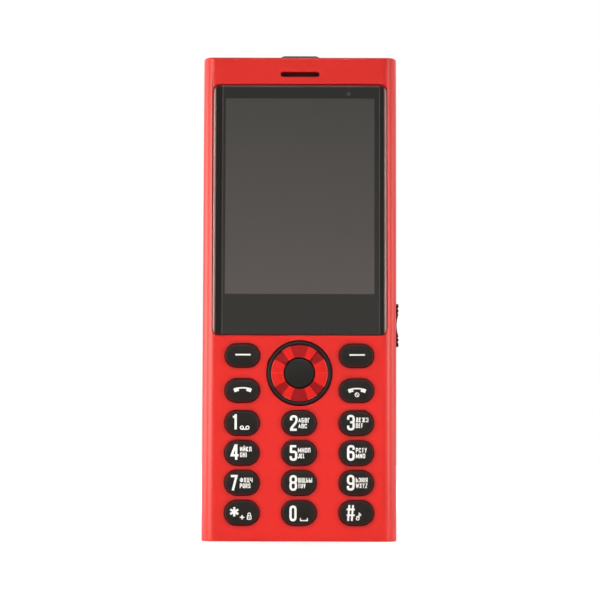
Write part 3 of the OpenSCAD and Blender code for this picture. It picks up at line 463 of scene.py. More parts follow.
makeMaterial("key_black", paintWoven, dict(
    dark=(0.0040, 0.0031, 0.0022), light=(0.0092, 0.0074, 0.0058), pitch=0.62, weave=0.35, bump=0.45,
    # rim tone and reach: painted shade tinted by red light from the shell, along the key edges
    depth=0.03, specular=0.16, rim=(0.19, 0.003, 0.003), rimShadeReach=1.15,
    grain=dict(Fine=5000.0, Broad=140.0, Rough=0.44, Spread=0.12)))
makeMaterial("mesh_maroon", paintWoven, dict(
    dark=(0.007, 0.0014, 0.0014), light=(0.040, 0.0052, 0.0050), pitch=0.36, weave=0.5, bump=0.9,
    depth=0.03, specular=0.12, grain=dict(Fine=5000.0, Broad=200.0, Rough=0.6, Spread=0.1)))


winLow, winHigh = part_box("display_window")


def paintWindow(tree, place, drift, look):
    # printed window: grey display area and black border, both lighter downwards by a painted reflection,
    # darker side strips behind a thin line, a painted highlight on the clear edge at both sides, a thin
    # painted reflection of the red shell under the top edge, and one small sensor dot
    x, _, z = splitPlace(tree, place)
    top = winHigh.z / mm
    half = look["height"] / 2
    middle = look["low"] + half
    across = awayFrom(tree, x, 0)
    inX = within(tree, across, look["width"] / 2, look["areaSoft"])
    inZ = within(tree, awayFrom(tree, z, middle), half, look["areaSoft"])
    # painted reflection: area and border lighter from the top of the area downwards
    fall = ramp(tree, z, (middle + half) * mm, (middle - half) * mm)
    aside = awayFrom(tree, x, look["stripShift"])
    strip = beyond(tree, aside, look["stripFrom"], look["lineSoft"])
    line = within(tree, awayFrom(tree, aside, look["stripFrom"]), look["lineHalf"], look["lineSoft"])
    # painted reflection of the red shell: a thin line under the top edge, off the side strips
    toUpper = awayFrom(tree, z, top - look["topLineDrop"])
    upper = within(tree, toUpper, look["topLineHalf"], look["topLineSoft"])
    upper = calc(tree, "MULTIPLY", upper, calc(tree, "SUBTRACT", 1.0, strip))
    # painted highlight on the clear edge at both sides
    edge = beyond(tree, across, look["glintFrom"], look["glintSoft"])
    sensorX, drop, radius = look["sensor"]
    sensor = within(tree, fromAxis(tree, place, (sensorX, 0, top - drop)), radius, look["sensorSoft"])
    colour = mixColour(tree, fall, look["bezel"], look["bezelReflectLow"])
    for mask, tone in ((strip, "strip"), (line, "line"), (upper, "topReflect"), (edge, "edge"), (sensor, "dot")):
        colour = mixColour(tree, mask, colour, look[tone])
    area = mixColour(tree, fall, look["lit"], look["litReflectLow"])
    return mixColour(tree, calc(tree, "MULTIPLY", inX, inZ), colour, area), None


makeMaterial("window_black", paintWindow, dict(
    width=42.95, height=56.7, low=70.79, areaSoft=0.12,  # the grey area that is seen, and its lower edge
    # display and border tones at the top, and their low tones lightened by painted reflection
    lit=(0.0515, 0.0503, 0.0470), litReflectLow=(0.0835, 0.0744, 0.0730),
    bezel=(0.0150, 0.0146, 0.0140), bezelReflectLow=(0.0235, 0.0222, 0.0200), specular=0.2,
    strip=(0.0060, 0.0042, 0.0033), stripFrom=22.64, stripShift=0.34,  # the border print sits a little right
    line=(0.052, 0.047, 0.044), lineHalf=0.16, lineSoft=0.1,
    # painted highlight of the clear edge at both sides
    edge=(0.45, 0.29, 0.275), glintFrom=24.47, glintSoft=0.3,
    # painted reflection of the red shell under the top edge
    topReflect=(0.066, 0.046, 0.048), topLineDrop=0.62, topLineHalf=0.14, topLineSoft=0.14,
    sensor=(14.05, 2.72, 0.5), sensorSoft=0.25, dot=(0.060, 0.058, 0.056),  # across, below the top, radius
    bump=0.01, depth=0.01, grain=dict(Fine=900.0, Broad=55.0, Rough=0.055, Spread=0.05)))


navCentre = centreOf("nav_rim")


def nearRing(tree, place, radius, half, soft):
    # 1 on a ring of that radius about the navigation key's axis, 0 inside and outside it
    return within(tree, awayFrom(tree, fromAxis(tree, place, navCentre), radius), half, soft)


def paintRim(tree, place, drift, look):
    # satin black rim: a painted highlight along its crest, and painted red reflection and shade from the
    # shell on the flanks
    # painted red reflection and shade on the flanks, painted highlight on the crest
    redShadeFlank = mixColour(tree, drift, *look["redShadeFlank"])
    top = mixColour(tree, drift, *look["top"])
    return mixColour(tree, nearRing(tree, place, *look["crest"]), redShadeFlank, top), None


makeMaterial("rim_black", paintRim, dict(
    # crest: painted highlight; flank tones: painted red reflection and shade from the shell
    crest=(8.72, 0.22, 0.16), specular=0.10, bump=0.05,  # radius, half width and soft edge of the pale crest
    redShadeFlank=((0.009, 0.0020, 0.0020), (0.015, 0.0032, 0.0032)),
    top=((0.018, 0.014, 0.013), (0.028, 0.022, 0.021)),
    grain=dict(Fine=5000.0, Broad=300.0, Rough=0.42, Spread=0.12)))


def paintFacets(tree, place, drift, look):
    # metallic lacquer with painted light and shade: a lit and a shaded tone by the sector of the ring, told
    # from the angle in one quarter, a darker painted shade for the slanted sectors that face up, and a
    # painted highlight as a pale lip at the outer edge of the lit sectors and as a thin line where the side
    # facets meet
    x, _, z = splitPlace(tree, place)
    angle = calc(tree, "ARCTAN2", awayFrom(tree, z, navCentre[2]), awayFrom(tree, x, navCentre[0]))
    bands = []
    for start, end in look["shadedBands"]:
        over = calc(tree, "GREATER_THAN", angle, math.radians(start))
        bands.append(calc(tree, "MULTIPLY", over, calc(tree, "LESS_THAN", angle, math.radians(end))))
    # lit, shaded and darker shaded tones: painted light and shade by sector
    litTone, shadedTone, paintedShade = [mixColour(tree, drift, *look[tone]) for tone in ("litTone", "shadedTone", "paintedShade")]
    shadedUpper = calc(tree, "MULTIPLY", bands[0], calc(tree, "GREATER_THAN", z, navCentre[2] * mm))
    dark = calc(tree, "ADD", *bands)
    colour = mixColour(tree, shadedUpper, mixColour(tree, dark, litTone, shadedTone), paintedShade)
    # painted highlight: the line where the side facets meet and the lip on the lit sectors
    line = calc(tree, "LESS_THAN", angle, math.radians(look["lineHalf"]))
    lip = calc(tree, "MULTIPLY", nearRing(tree, place, *look["lip"]), calc(tree, "SUBTRACT", 1.0, dark))
    paintedGlint = calc(tree, "MAXIMUM", calc(tree, "MULTIPLY", line, look["glintShare"]), lip)
    return mixColour(tree, paintedGlint, colour, look["paintedGlint"]), None


makeMaterial("facet_red", paintFacets, dict(
    # sectors in painted shade
    shadedBands=((29.6, 51.4), (71.4, 91)), metallic=0.9, bump=0.06,  # angles in degrees
    # painted lit, shaded and darker shaded tones, and the colour of the painted highlight
    litTone=((0.58, 0.012, 0.009), (0.72, 0.022, 0.018)), shadedTone=((0.26, 0.007, 0.008), (0.35, 0.011, 0.012)),
    paintedShade=((0.125, 0.0026, 0.003), (0.165, 0.004, 0.0045)),
    paintedGlint=(0.82, 0.15, 0.13), lip=(8.03, 0.07, 0.07), lineHalf=1.5, glintShare=0.15,
    grain=dict(Fine=6000.0, Broad=700.0, Rough=0.34, Spread=0.14)))


def paintCamera(tree, place, drift, look):
    # dark window over the lens: rings told by the distance from the lens axis
    reach = fromAxis(tree, place, centreOf("camera_window"))
    colour = mixColour(tree, drift, *look["border"])
    for radius, tone in look["rings"]:
        colour = mixColour(tree, within(tree, reach, radius, look["soft"]), colour, tone)
    return colour, None


makeMaterial("camera_glass", paintCamera, dict(
    border=((0.005, 0.005, 0.006), (0.010, 0.010, 0.012)), soft=0.04, specular=0.25, bump=0.02, depth=0.01,
    rings=((3.3, (0.035, 0.035, 0.037)), (3.05, (0.004, 0.004, 0.005)), (2.1, (0.020, 0.020, 0.024)),
           (1.9, (0.010, 0.008, 0.024)), (1.1, (0.003, 0.003, 0.010)), (0.45, (0.030, 0.014, 0.050))),
    grain=dict(Fine=2600.0, Broad=200.0, Rough=0.06, Spread=0.05)))


def paintBoard(tree, place, drift, look):
    # solder mask with pale tracks: a brick pattern turned on edge gives the tracks and pads
    onEdge = addNode(tree, "ShaderNodeMapping", {"Rotation": (math.radians(90), 0, 0)})
    tree.links.new(place, onEdge.inputs["Vector"])
    brick = addNode(tree, "ShaderNodeTexBrick", look["brick"])
    tree.links.new(onEdge.outputs["Vector"], brick.inputs["Vector"])
    return brick.outputs["Color"], brick.outputs["Fac"]


makeMaterial("board_green", paintBoard, dict(
    bump=0.3, depth=0.03, grain=dict(Fine=3000.0, Broad=90.0, Rough=0.38, Spread=0.14),
    brick={"Scale": 260.0, "Mortar Size": 0.012, "Brick Width": 0.9, "Row Height": 0.35,
           "Color1": (0.012, 0.115, 0.055, 1), "Color2": (0.016, 0.150, 0.072, 1),
           "Mortar": (0.035, 0.230, 0.110, 1)}))

ownFinish = {"earpiece_mesh": "mesh_maroon"}  # nodes whose finish is finer than their slot's
for part in frame["record"]["subparts"]:
    cadMesh = nodes[part["node"]].data
    cadMesh.materials.clear()
    cadMesh.materials.append(materials[ownFinish.get(part["node"], part["material_slot"])])
print("materials ready:", len(materials))


# Shells with rounded edges

# lengths in millimetres and angles in degrees
shellForm = dict(halfWidth=28.0, frontRound=4.5, rearRound=4.8, endRound=0.68, near=0.03, sharp=30.0, steps=3,
                 merge=0.001, flat=0.4)
shells = {
    "front_cover": dict(piece="shell_front", body="phone", width=0.30),
    "battery_cover": dict(piece="shell_rear", body="cover_body", width=0.18),
}


def skinOf(points, form):
    # depth inside the body's skin, distance to the nearer end and the skin's outward normal; the section is
    # flat sides joined by quarter circles, and in a corner the depth is radius - sqrt(u^2 + v^2), where u and
    # v are counted from the circle's centre
    low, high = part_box("front_cover")
    front = low.y / mm
    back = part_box("battery_cover")[1].y / mm
    x, y, z = points.T
    rear = y > (front + back) / 2
    radius = np.where(rear, form["rearRound"], form["frontRound"])
    out = np.where(rear, 1.0, -1.0)
    depth = np.where(rear, back - y, y - front)
    side = form["halfWidth"] - np.abs(x)
    u, v = radius - side, radius - depth
    corner = (u > 0) & (v > 0)
    reach = np.where(corner, np.hypot(u, v), 1.0)
    section = np.where(corner, radius - reach, np.minimum(side, depth))
    onSide = np.where(corner, u / reach, (side < depth).astype(float)) * np.sign(x)
    onFace = np.where(corner, v / reach, (side >= depth).astype(float)) * out
    toEnd = np.minimum(z - low.z / mm, high.z / mm - z)
    return section, toEnd, np.c_[onSide, onFace, 0 * x]


def mergedCopy(node, form):
    # a solid's loose triangles with doubles merged and flat faces joined, made anew without stored normals
    bm = bmesh.new()
    bm.from_mesh(nodes[node].data)
    bmesh.ops.remove_doubles(bm, verts=bm.verts, dist=form["merge"] * mm)
    bmesh.ops.dissolve_limit(bm, angle_limit=math.radians(form["flat"]), verts=bm.verts, edges=bm.edges)
    joined = bpy.data.meshes.new("joined")
    bm.to_mesh(joined)
    bm.free()
    corners, _, sizes = cornersOf(joined)
    mesh = newMesh("base", readRows(joined.vertices, "co", 3) / mm, corners, sizes)
    bpy.data.meshes.remove(joined)
    mesh.polygons.foreach_set("use_smooth", np.full(len(mesh.polygons), True))
    mesh.materials.append(materials["shell_red"])
    return mesh


def edgeAngles(mesh):
    # angle at each edge: the arc cosine of its two faces' normals' dot product, 0 where not two faces meet
    _, owner, _ = cornersOf(mesh)
    edge = readRows(mesh.loops, "edge_index", kind=np.int32)
    facing = readRows(mesh.polygons, "normal", 3)[owner[np.argsort(edge, kind="stable")]]
    count = np.bincount(edge, minlength=len(mesh.edges))
    first = (np.cumsum(count) - count)[count == 2]
    angles = np.zeros(len(mesh.edges))
    angles[count == 2] = np.arccos(np.clip(np.sum(facing[first] * facing[first + 1], 1), -1, 1))
    return angles


def trueNormals(mesh, form):
    # every face that lies on the skin away from the ends takes the section's normals at its corners
    section, toEnd, outward = skinOf(readRows(mesh.vertices, "co", 3) / mm, form)
    good = (section < form["near"]) & (toEnd > form["endRound"])
    point, owner, sizes = cornersOf(mesh)
    facing = readRows(mesh.polygons, "normal", 3)[owner]
    agrees = np.sum(outward[point] * facing, 1) > math.cos(math.radians(form["sharp"] / 2))
    whole = np.bincount(owner, good[point] & agrees, len(sizes)) == sizes
    normals = readRows(mesh.corner_normals, "vector", 3)
    mesh.normals_split_custom_set(np.where(whole[owner, None], outward[point], normals).tolist())


def roundedShell(node, look, form):
    # merged copy of the solid's mesh: a weighted bevel rounds the sharp edges on the skin, and the skin is
    # shaded with the normals of the true cross-section
    mesh = mergedCopy(node, form)
    section, toEnd, _ = skinOf(readRows(mesh.vertices, "co", 3) / mm, form)
    sharp = edgeAngles(mesh) > math.radians(form["sharp"])
    ends = readRows(mesh.edges, "vertices", 2, np.int32)
    onSkin = sharp & (np.minimum(section, toEnd)[ends].max(1) < form["near"])
    weight = mesh.attributes.new("bevel_weight_edge", "FLOAT", "EDGE")
    weight.data.foreach_set("value", onSkin.astype(np.float32))
    crease = mesh.attributes.new("sharp_edge", "BOOLEAN", "EDGE")
    crease.data.foreach_set("value", sharp & ~onSkin)
    base = putObject("base", mesh)
    bevel = base.modifiers.new("rounded", "BEVEL")
    bevel.limit_method = "WEIGHT"
    bevel.offset_type = "ABSOLUTE"
    bevel.width = look["width"] * mm
    bevel.segments = form["steps"]
    bevel.use_clamp_overlap = False
    bevel.harden_normals = True
    bpy.context.view_layer.update()
    rounded = bpy.data.meshes.new_from_object(base.evaluated_get(bpy.context.evaluated_depsgraph_get()))
    bpy.data.objects.remove(base)
    trueNormals(rounded, form)
    rounded.name = look["piece"]
    mount(putObject(look["piece"], rounded), look["body"], node)
    print(look["piece"], "edges rounded:", int(onSkin.sum()), "faces:", len(rounded.polygons))


for node, look in shells.items():
    roundedShell(node, look, shellForm)


# Key caps

keyNames = ["key_star", "key_0", "key_hash", "key_7", "key_8", "key_9", "key_4", "key_5", "key_6", "key_1",
            "key_2", "key_3", "call_key", "end_key", "soft_key_left", "soft_key_right"]
keyCap = dict(flange=0.48, crown=40.0, edge=0.5, edgeSteps=8, wallBack=-5.6, back=-4.9, points=96,
              crownSteps=(0.88, 0.74, 0.6, 0.45, 0.3, 0.15, 0.03))
keyCap["top"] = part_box("key_5")[0].y / mm


def crownDepth(u, v, look):
    # depth of the crown: a ball of that radius that touches the top plane at the middle
    return look["top"] + look["crown"] - np.sqrt(look["crown"] ** 2 - u ** 2 - v ** 2)


def makeKeyCap(name, look):
    # rings of one slot outline: flange, wall, quarter-round edge, then the crown shrinking to the middle
    wide, _, tall = sizeOf(name)
    insets, drops = quarterRound(look["edge"], look["edgeSteps"])
    outlines = []
    for inset in np.r_[0.0, look["flange"], look["flange"] + insets]:
        height = tall - 2 * inset
        outlines.append(roundedRect(wide - 2 * inset, height, height / 2, look["points"]))
    rings = [outlines[0], *outlines[:2]]
    depths = [np.full(look["points"], look[place]) for place in ("back", "wallBack", "wallBack")]
    for ring, drop in zip(outlines[2:], drops):
        rings.append(ring)
        depths.append(crownDepth(*ring.T, look) + drop)
    for share in look["crownSteps"]:
        rings.append(ring * share)
        depths.append(crownDepth(*rings[-1].T, look))
    piece = putRings("cap_" + name, rings, depths, centreOf(name), materials["key_black"])
    mount(piece, name + "_body", name)


for keyName in keyNames:
    makeKeyCap(keyName, keyCap)
print("key caps:", len(keyNames))


# Legends

ink = dict(stroke=0.66, width=2.2, height=4.48, lift=0.02, sink=0.05, step=0.45, cornerSteps=7, ringPoints=28)
letterInk = dict(stroke=0.245, gap=0.13, height=1.34, upper=0.11, lower=-1.52, bend=0.2, least=0.01)


def cornerPath(corners, closed):
    # a polyline whose corners are parabolas: (1-s)^2 A + 2 s (1-s) P + s^2 B, where A and B lie the
    # corner's reach away from P
    p, reach = corners[:, :2], corners[:, 2:3]
    before = np.roll(p, 1, 0) - p
    after = np.roll(p, -1, 0) - p
    farBefore = np.linalg.norm(before, axis=1, keepdims=True)
    farAfter = np.linalg.norm(after, axis=1, keepdims=True)
    a = p + before / farBefore * np.minimum(reach, farBefore / 2)
    b = p + after / farAfter * np.minimum(reach, farAfter / 2)
    if not closed:
        a[[0, -1]] = p[[0, -1]]
        b[[0, -1]] = p[[0, -1]]
    s = np.linspace(0, 1, ink["cornerSteps"])[None, :, None]
    path = ((1 - s) ** 2 * a[:, None] + 2 * s * (1 - s) * p[:, None] + s ** 2 * b[:, None]).reshape(-1, 2)
    keep = np.linalg.norm(path - np.roll(path, 1, 0), axis=1) > 1e-4  # drops points that coincide
    keep[0] = keep[0] or not closed
    return path[keep]


def denser(path, closed, least=0.02):
    # adds points so that no step is longer than the ink's and the print follows the crown, and drops a point
    # that comes within least of the one before
    ends = np.vstack([path, path[:1]]) if closed else path
    along = np.r_[0, np.cumsum(np.linalg.norm(np.diff(ends, axis=0), axis=1))]
    extra = np.linspace(0, along[-1], max(2, int(along[-1] / ink["step"]) + 1))
    spots = np.unique(np.round(np.r_[along, extra], 5))
    spots = spots[np.r_[True, np.diff(spots) > least]]
    spots[-1] = along[-1]
    line = np.c_[np.interp(spots, along, ends[:, 0]), np.interp(spots, along, ends[:, 1])]
    return line[:-1] if closed else line


def ribbon(path, width, closed=False, sharpest=0.6):
    # a flat bar carried along the path: its edges lie half the width away along the mitred normal, no farther
    # than a mitre of that sharpest cosine, and it has a top and a bottom face
    path = denser(path, closed)
    forward = np.roll(path, -1, 0) - path
    forward /= np.linalg.norm(forward, axis=1, keepdims=True)
    backward = np.roll(forward, 1, 0)
    if not closed:
        forward[-1] = backward[-1]
        backward[0] = forward[0]
    normal = np.c_[-(forward + backward)[:, 1], (forward + backward)[:, 0]]
    normal /= np.linalg.norm(normal, axis=1, keepdims=True)
    lean = np.clip(np.sum(normal * np.c_[-forward[:, 1], forward[:, 0]], axis=1), sharpest, 1)
    side = normal * (width / 2 / lean)[:, None]
    up = np.full(len(path), ink["lift"])
    down = np.full(len(path), -ink["sink"])
    left, right = path + side, path - side
    rings = np.stack([np.c_[left, up], np.c_[right, up], np.c_[right, down], np.c_[left, down]], 1)
    return rings.reshape(-1, 3), tubeFaces(len(path), 4, closed)


def readStrokes(text):
    # strokes part at "|" and spots at spaces; a spot is x,z with "r" and a reach where its corner is round,
    # 1 if none is told, and "o" closes the stroke
    strokes = []
    for part in text.split("|"):
        spots = part.split()
        closed = spots[-1] == "o"
        rows = []
        for spot in spots[:-1] if closed else spots:
            place, mark, reach = spot.partition("r")
            rows.append([float(value) for value in place.split(",")] + [float(reach or 1) if mark else 0.0])
        strokes.append((np.array(rows), closed))
    return strokes


def drawStrokes(text, place, cell, width, bend=1.0):
    # the strokes of a cell at real size, each carried out as a flat bar
    made = []
    for rows, closed in readStrokes(text):
        spots = rows * [*cell, bend] + [*place, 0.0]
        made.append(ribbon(cornerPath(spots, closed), width, closed))
    return made


# signs and letters in a cell one wide and one high
numerals = {
    "0": "0,0r.9 1,0r.9 1,1r.9 0,1r.9 o",
    "1": "-.1,.84 .62,.93 | .62,1.07 .62,-.07",
    "2": "0,.7 0,1r.9 1,1r.9 1,.6r.6 0,.1r.3 0,0 1.05,0",
    "3": "0,.72 0,1r.9 1,1r.9 1,.53r.5 .35,.53 | .35,.53 1,.53r.5 1,0r.9 0,0r.9 0,.28",
    "4": ".72,-.09 .72,1.05 | .62,1.03 -.12,.24 1.15,.24",
    "5": "1,1 .05,1 0,.52 | 0,.58 1,.6r.9 1,0r.9 0,0r.9 0,.26",
    "6": "1,.74 1,1r.9 0,1r.9 0,0r.9 1,0r.9 1,.57r.9 0,.57",
    "7": "-.05,1 1,1 .32,-.07",
    "8": "0,.53r.7 1,.53r.7 1,1r.9 0,1r.9 o | 0,0r.9 1,0r.9 1,.53r.7 0,.53r.7 o",
    "9": "0,.26 0,0r.9 1,0r.9 1,1r.9 0,1r.9 0,.43r.9 1,.43",
}
letterShapes = {
    "A": "0,0 .5,1 1,0 | .2,.28 .8,.28",
    "B": "0,0 0,1 1,1r 1,.53r 0,.53 | 0,.53 1,.53r 1,0r -.1,0",
    "C": "1,.68 1,1r 0,1r 0,0r 1,0r 1,.32",
    "D": "0,0 0,1 1,1r 1,0r o",
    "E": "1,1 0,1 0,0 1,0 | 0,.52 .9,.52",
    "F": "1,1 0,1 0,-.08 | 0,.5 .9,.5",
    "G": "1,.72 1,1r 0,1r 0,0r 1,0r 1,.46 .5,.46",
    "H": "0,-.1 0,1.1 | 1,-.1 1,1.1 | 0,.5 1,.5",
    "I": ".5,-.1 .5,1.1",
    "J": "1,1.1 1,0r 0,0r 0,.25",
    "K": "0,-.1 0,1.1 | 1,1.1 .1,.48 1,-.1",
    "L": "0,1.1 0,0 1,0",
    "M": "0,-.1 0,1 .5,.2 1,1 1,-.1",
    "N": "0,-.1 0,1 1,0 1,1.1",
    "O": "0,0r 1,0r 1,1r 0,1r o",
    "P": "0,-.1 0,1 1,1r 1,.43r 0,.43",
    "Q": "0,0r 1,0r 1,1r 0,1r o | .5,.3 1.05,-.1",
    "R": "0,-.1 0,1 1,1r 1,.46r 0,.46 | .5,.46 1,-.1",
    "S": "1,.72 1,1r 0,1r 0,.56r 1,.44r 1,0r 0,0r 0,.28",
    "T": "0,1 1,1 | .5,1 .5,-.1",
    "U": "0,1.1 0,0r 1,0r 1,1.1",
    "V": "0,1.1 .5,0 1,1.1",
    "W": "0,1.1 .25,0 .5,.8 .75,0 1,1.1",
    "X": "0,-.1 1,1.1 | 0,1.1 1,-.1",
    "Y": "0,1.1 .5,.45 1,1.1 | .5,.45 .5,-.1",
    "Z": "0,1 1,1 0,0 1,0",
    "Б": ".95,1 0,1 0,0 1,0r 1,.55r 0,.55",
    "Г": "1,1 0,1 0,-.1",
    "Д": "0,-.16 0,.05 1,.05 1,-.16 | .18,.05 .3,1 .85,1 .85,.05",
    "Ж": ".5,-.1 .5,1.1 | 0,1.1 .42,.5 0,-.1 | 1,1.1 .58,.5 1,-.1",
    "З": "0,.72 0,1r 1,1r 1,.53r .35,.53 | .35,.53 1,.53r 1,0r 0,0r 0,.28",
    "И": "0,1.1 0,0 1,1 1,-.1",
    "Й": "0,1.1 0,0 1,1 1,-.1 | .15,1.36 .5,1.26 .85,1.36",
    "Л": "0,-.1 .3,1 1,1 1,-.1",
    "П": "0,-.1 0,1 1,1 1,-.1",
    "У": "0,1.1 .5,.42 | 1,1.1 .4,0 .1,0",
    "Ф": "0,.2r 1,.2r 1,.82r 0,.82r o | .5,-.1 .5,1.1",
    "Ц": "0,1.1 0,0 1.1,0 1.1,-.2 | .85,1.1 .85,0",
    "Ч": "0,1.1 0,.42r 1,.42 | 1,-.1 1,1.1",
    "Ш": "0,1.1 0,0 1,0 1,1.1 | .5,1.1 .5,0",
    "Щ": "0,1.1 0,0 1.1,0 1.1,-.2 | .45,1.1 .45,0 | .9,1.1 .9,0",
    "Ъ": "-.1,1 .25,1 .25,0 1,0r 1,.52r .25,.52",
    "Ы": "0,1.1 0,0 .55,0r .55,.52r 0,.52 | 1,-.1 1,1.1",
    "Ь": "0,1.1 0,0 1,0r 1,.54r 0,.54",
    "Э": "0,.72 0,1r 1,1r 1,0r 0,0r 0,.28 | .35,.5 1,.5",
    "Ю": "0,-.1 0,1.1 | 0,.5 .45,.5 | .45,0r 1,0r 1,1r .45,1r o",
    "Я": "1,-.1 1,1 0,1r 0,.46r 1,.46 | .5,.46 0,-.1",
}
sameAs = dict(zip("АВЕКМНОРСТХ", "ABEKMHOPCTX"))  # letters of both alphabets with one shape
letterWidth = {
    "I": 0.42, "L": 0.85, "J": 0.9, "T": 0.95, "Г": 0.9, "F": 0.9, "E": 0.9, "M": 1.3, "М": 1.3, "Ф": 1.3,
    "W": 1.4, "Ш": 1.4, "Ы": 1.4, "Ж": 1.45, "Ю": 1.45, "Щ": 1.5}

# small marks in millimetres about their own place: bars are strokes with a width, and rings have a place,
# a radius and a width
marks = {
    "dash": dict(bars=(("-2.02,.22 2.38,.22", .45),)),
    "space": dict(bars=((".42,-1.45 .42,-2.15 2.36,-2.15 2.36,-1.45", .34),)),
    "tape": dict(bars=(("-.8,-.44 .8,-.44", .31),), rings=((-.8, 0, .44, .31), (.8, 0, .44, .31))),
    "plus": dict(bars=(("-.62,0 .62,0 | 0,-.62 0,.62", .33),)),
    "padlock": dict(bars=(("-.52,-.88r.15 .52,-.88r.15 .52,.08r.15 -.52,.08r.15 o", .28),
                          ("-.36,.1 -.36,.88r.5 .36,.88r.5 .36,.1", .27), ("0,-.6 0,-.22", .24))),
    "hash": dict(bars=(("-2.38,-2.22 -2,2.3 | -1.32,-2.22 -.94,2.3", .56),
                       ("-2.78,-.6 -.46,-.6 | -2.78,1.04 -.46,1.04", .5))),
    "mute": dict(bars=((".16,-.45 .16,1 .68,.6", .25), ("-.62,.02 .78,.42", .22)),
                 rings=((-.24, -.55, .4, .26),)),
    "stop": dict(bars=(("-.4,.4 .4,-.4", .22),), rings=((0, 0, .56, .23),)),
}
asterisk = dict(reach=1.33, width=0.62, angles=(90, 30, 150))
receiver = dict(half=2.42, bend=0.06, bar=0.40, top=0.95, barPoints=41,
                block=1.04, blockFrom=1.12, blockTo=2.46, blockBend=0.09, blockLift=0.06, blockPoints=9)


def numeral(sign, left, width=ink["width"], lift=0.0):
    # the cell is the sign's size less one stroke, so that the bars end at its edges
    cell = np.array([width, ink["height"]]) - ink["stroke"]
    return drawStrokes(numerals[sign], (left + ink["stroke"] / 2, lift - cell[1] / 2), cell, ink["stroke"])


def letters(text, left, low, width):
    # a row of letters that together are as wide as asked
    stroke, gap = letterInk["stroke"], letterInk["gap"]
    shares = np.array([letterWidth.get(sign, 1.0) for sign in text])
    wide = shares * (width - gap * (len(text) - 1)) / shares.sum()
    starts = left + np.cumsum(np.r_[0, wide[:-1] + gap])
    made = []
    for sign, start, room in zip(text, starts, wide):
        cell = (max(room - stroke, letterInk["least"]), letterInk["height"] - stroke)
        shape = letterShapes[sameAs.get(sign, sign)]
        made += drawStrokes(shape, (start + stroke / 2, low + stroke / 2), cell, stroke, letterInk["bend"])
    return made


def dialLegend(sign, upper, lower, wideUp, wideLow, left, start, lift=0.0):
    # a numeral from left on, and two rows of letters from start on, each with its own width
    made = numeral(sign, left, lift=lift)
    made += letters(upper, start, letterInk["upper"] + lift, wideUp)
    return made + letters(lower, start, letterInk["lower"] + lift, wideLow)


def circlePath(cx, cz, radius):
    # a circle by angle t: the centre plus radius times cos t and sin t
    t = np.arange(ink["ringPoints"]) / ink["ringPoints"] * 2 * np.pi
    return np.c_[cx + radius * np.cos(t), cz + radius * np.sin(t)]


def drawMark(name, cx=0.0, cz=0.0):
    # a mark's bars and rings about the place cx, cz
    made = []
    for strokes, width in marks[name]["bars"]:
        made += drawStrokes(strokes, (cx, cz), (1.0, 1.0), width)
    for x, z, radius, width in marks[name].get("rings", ()):
        made.append(ribbon(circlePath(cx + x, cz + z, radius), width, True))
    return made


def drawStar(cx, cz, look=asterisk):
    # bars through the middle, one at each angle
    arms = [look["reach"] * np.array([np.cos(angle), np.sin(angle)]) for angle in np.radians(look["angles"])]
    return [ribbon(np.array([(cx, cz) - arm, (cx, cz) + arm]), look["width"]) for arm in arms]


def handset(middle, drop, look=receiver):
    # receiver: a thin arch z = top - bend x^2 with a block hung under each end along a steeper arch
    x = np.linspace(-look["half"], look["half"], look["barPoints"])
    crest = look["top"] - drop - look["bend"] * x ** 2
    made = [ribbon(np.c_[middle + x, crest - look["bar"] / 2], look["bar"])]
    for side in (-1, 1):
        u = side * np.linspace(look["blockFrom"], look["blockTo"], look["blockPoints"])
        crest = look["top"] - drop - look["blockBend"] * u ** 2 + look["blockLift"]
        made.append(ribbon(np.c_[middle + u, crest - look["block"] / 2], look["block"]))
    return made


# places in millimetres from the key's middle
legends = {
    "key_1": numeral("1", -2.8, 1.7, .3) + drawMark("tape", .76, -1.36),
    "key_2": dialLegend("2", "АБВГ", "ABC", 3.35, 2.46, -2.65, -.26),
    "key_3": dialLegend("3", "ДЕЖЗ", "DEF", 3.62, 2.12, -2.68, -.18, .15),
    "key_4": dialLegend("4", "ИЙКЛ", "GHI", 3.28, 1.95, -3.06, -.55, .28),
    "key_5": dialLegend("5", "МНОП", "JKL", 3.6, 1.98, -2.72, -.38),
    "key_6": dialLegend("6", "РСТУ", "MNO", 3.16, 2.7, -2.68, -.18, .04),
    "key_7": dialLegend("7", "ФХЦЧ", "PQRS", 3.64, 3.06, -3.38, -.56),
    "key_8": dialLegend("8", "ШЩЪЫ", "TUV", 4.06, 2.2, -2.76, -.34),
    "key_9": dialLegend("9", "ЬЭЮЯ", "WXYZ", 3.42, 3.36, -2.72, -.2, .1),
    "key_0": numeral("0", -2.74, 2.06, -.12) + drawMark("space"),
    "key_star": drawStar(-2.1, .3) + drawMark("plus", .14, -1.25) + drawMark("padlock", 2.17, -.93),
    "key_hash": drawMark("hash") + drawMark("mute", .61, -1.0),
    "call_key": handset(.12, .03),
    "end_key": handset(.16, .17) + drawMark("stop", .16, -1.19),
    "soft_key_left": drawMark("dash"),
    "soft_key_right": drawMark("dash"),
}


def makeLegend(name, signs):
    # the flat signs are laid on the crown: their own height is counted outwards from it
    cx, _, cz = centreOf(name)
    x, z, height = np.concatenate([points for points, _ in signs]).T
    starts = np.cumsum([0] + [len(points) for points, _ in signs])
    blocks = [block + first for first, (_, sides) in zip(starts, signs) for block in sides]
    points = np.c_[x + cx, crownDepth(x, z, keyCap) - height, z + cz]
    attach(putMesh("legend_" + name, points, blocks, materials["print_white"], False), name + "_body")


for keyName, signs in legends.items():
    makeLegend(keyName, signs)
print("legends:", len(legends))


# Navigation key

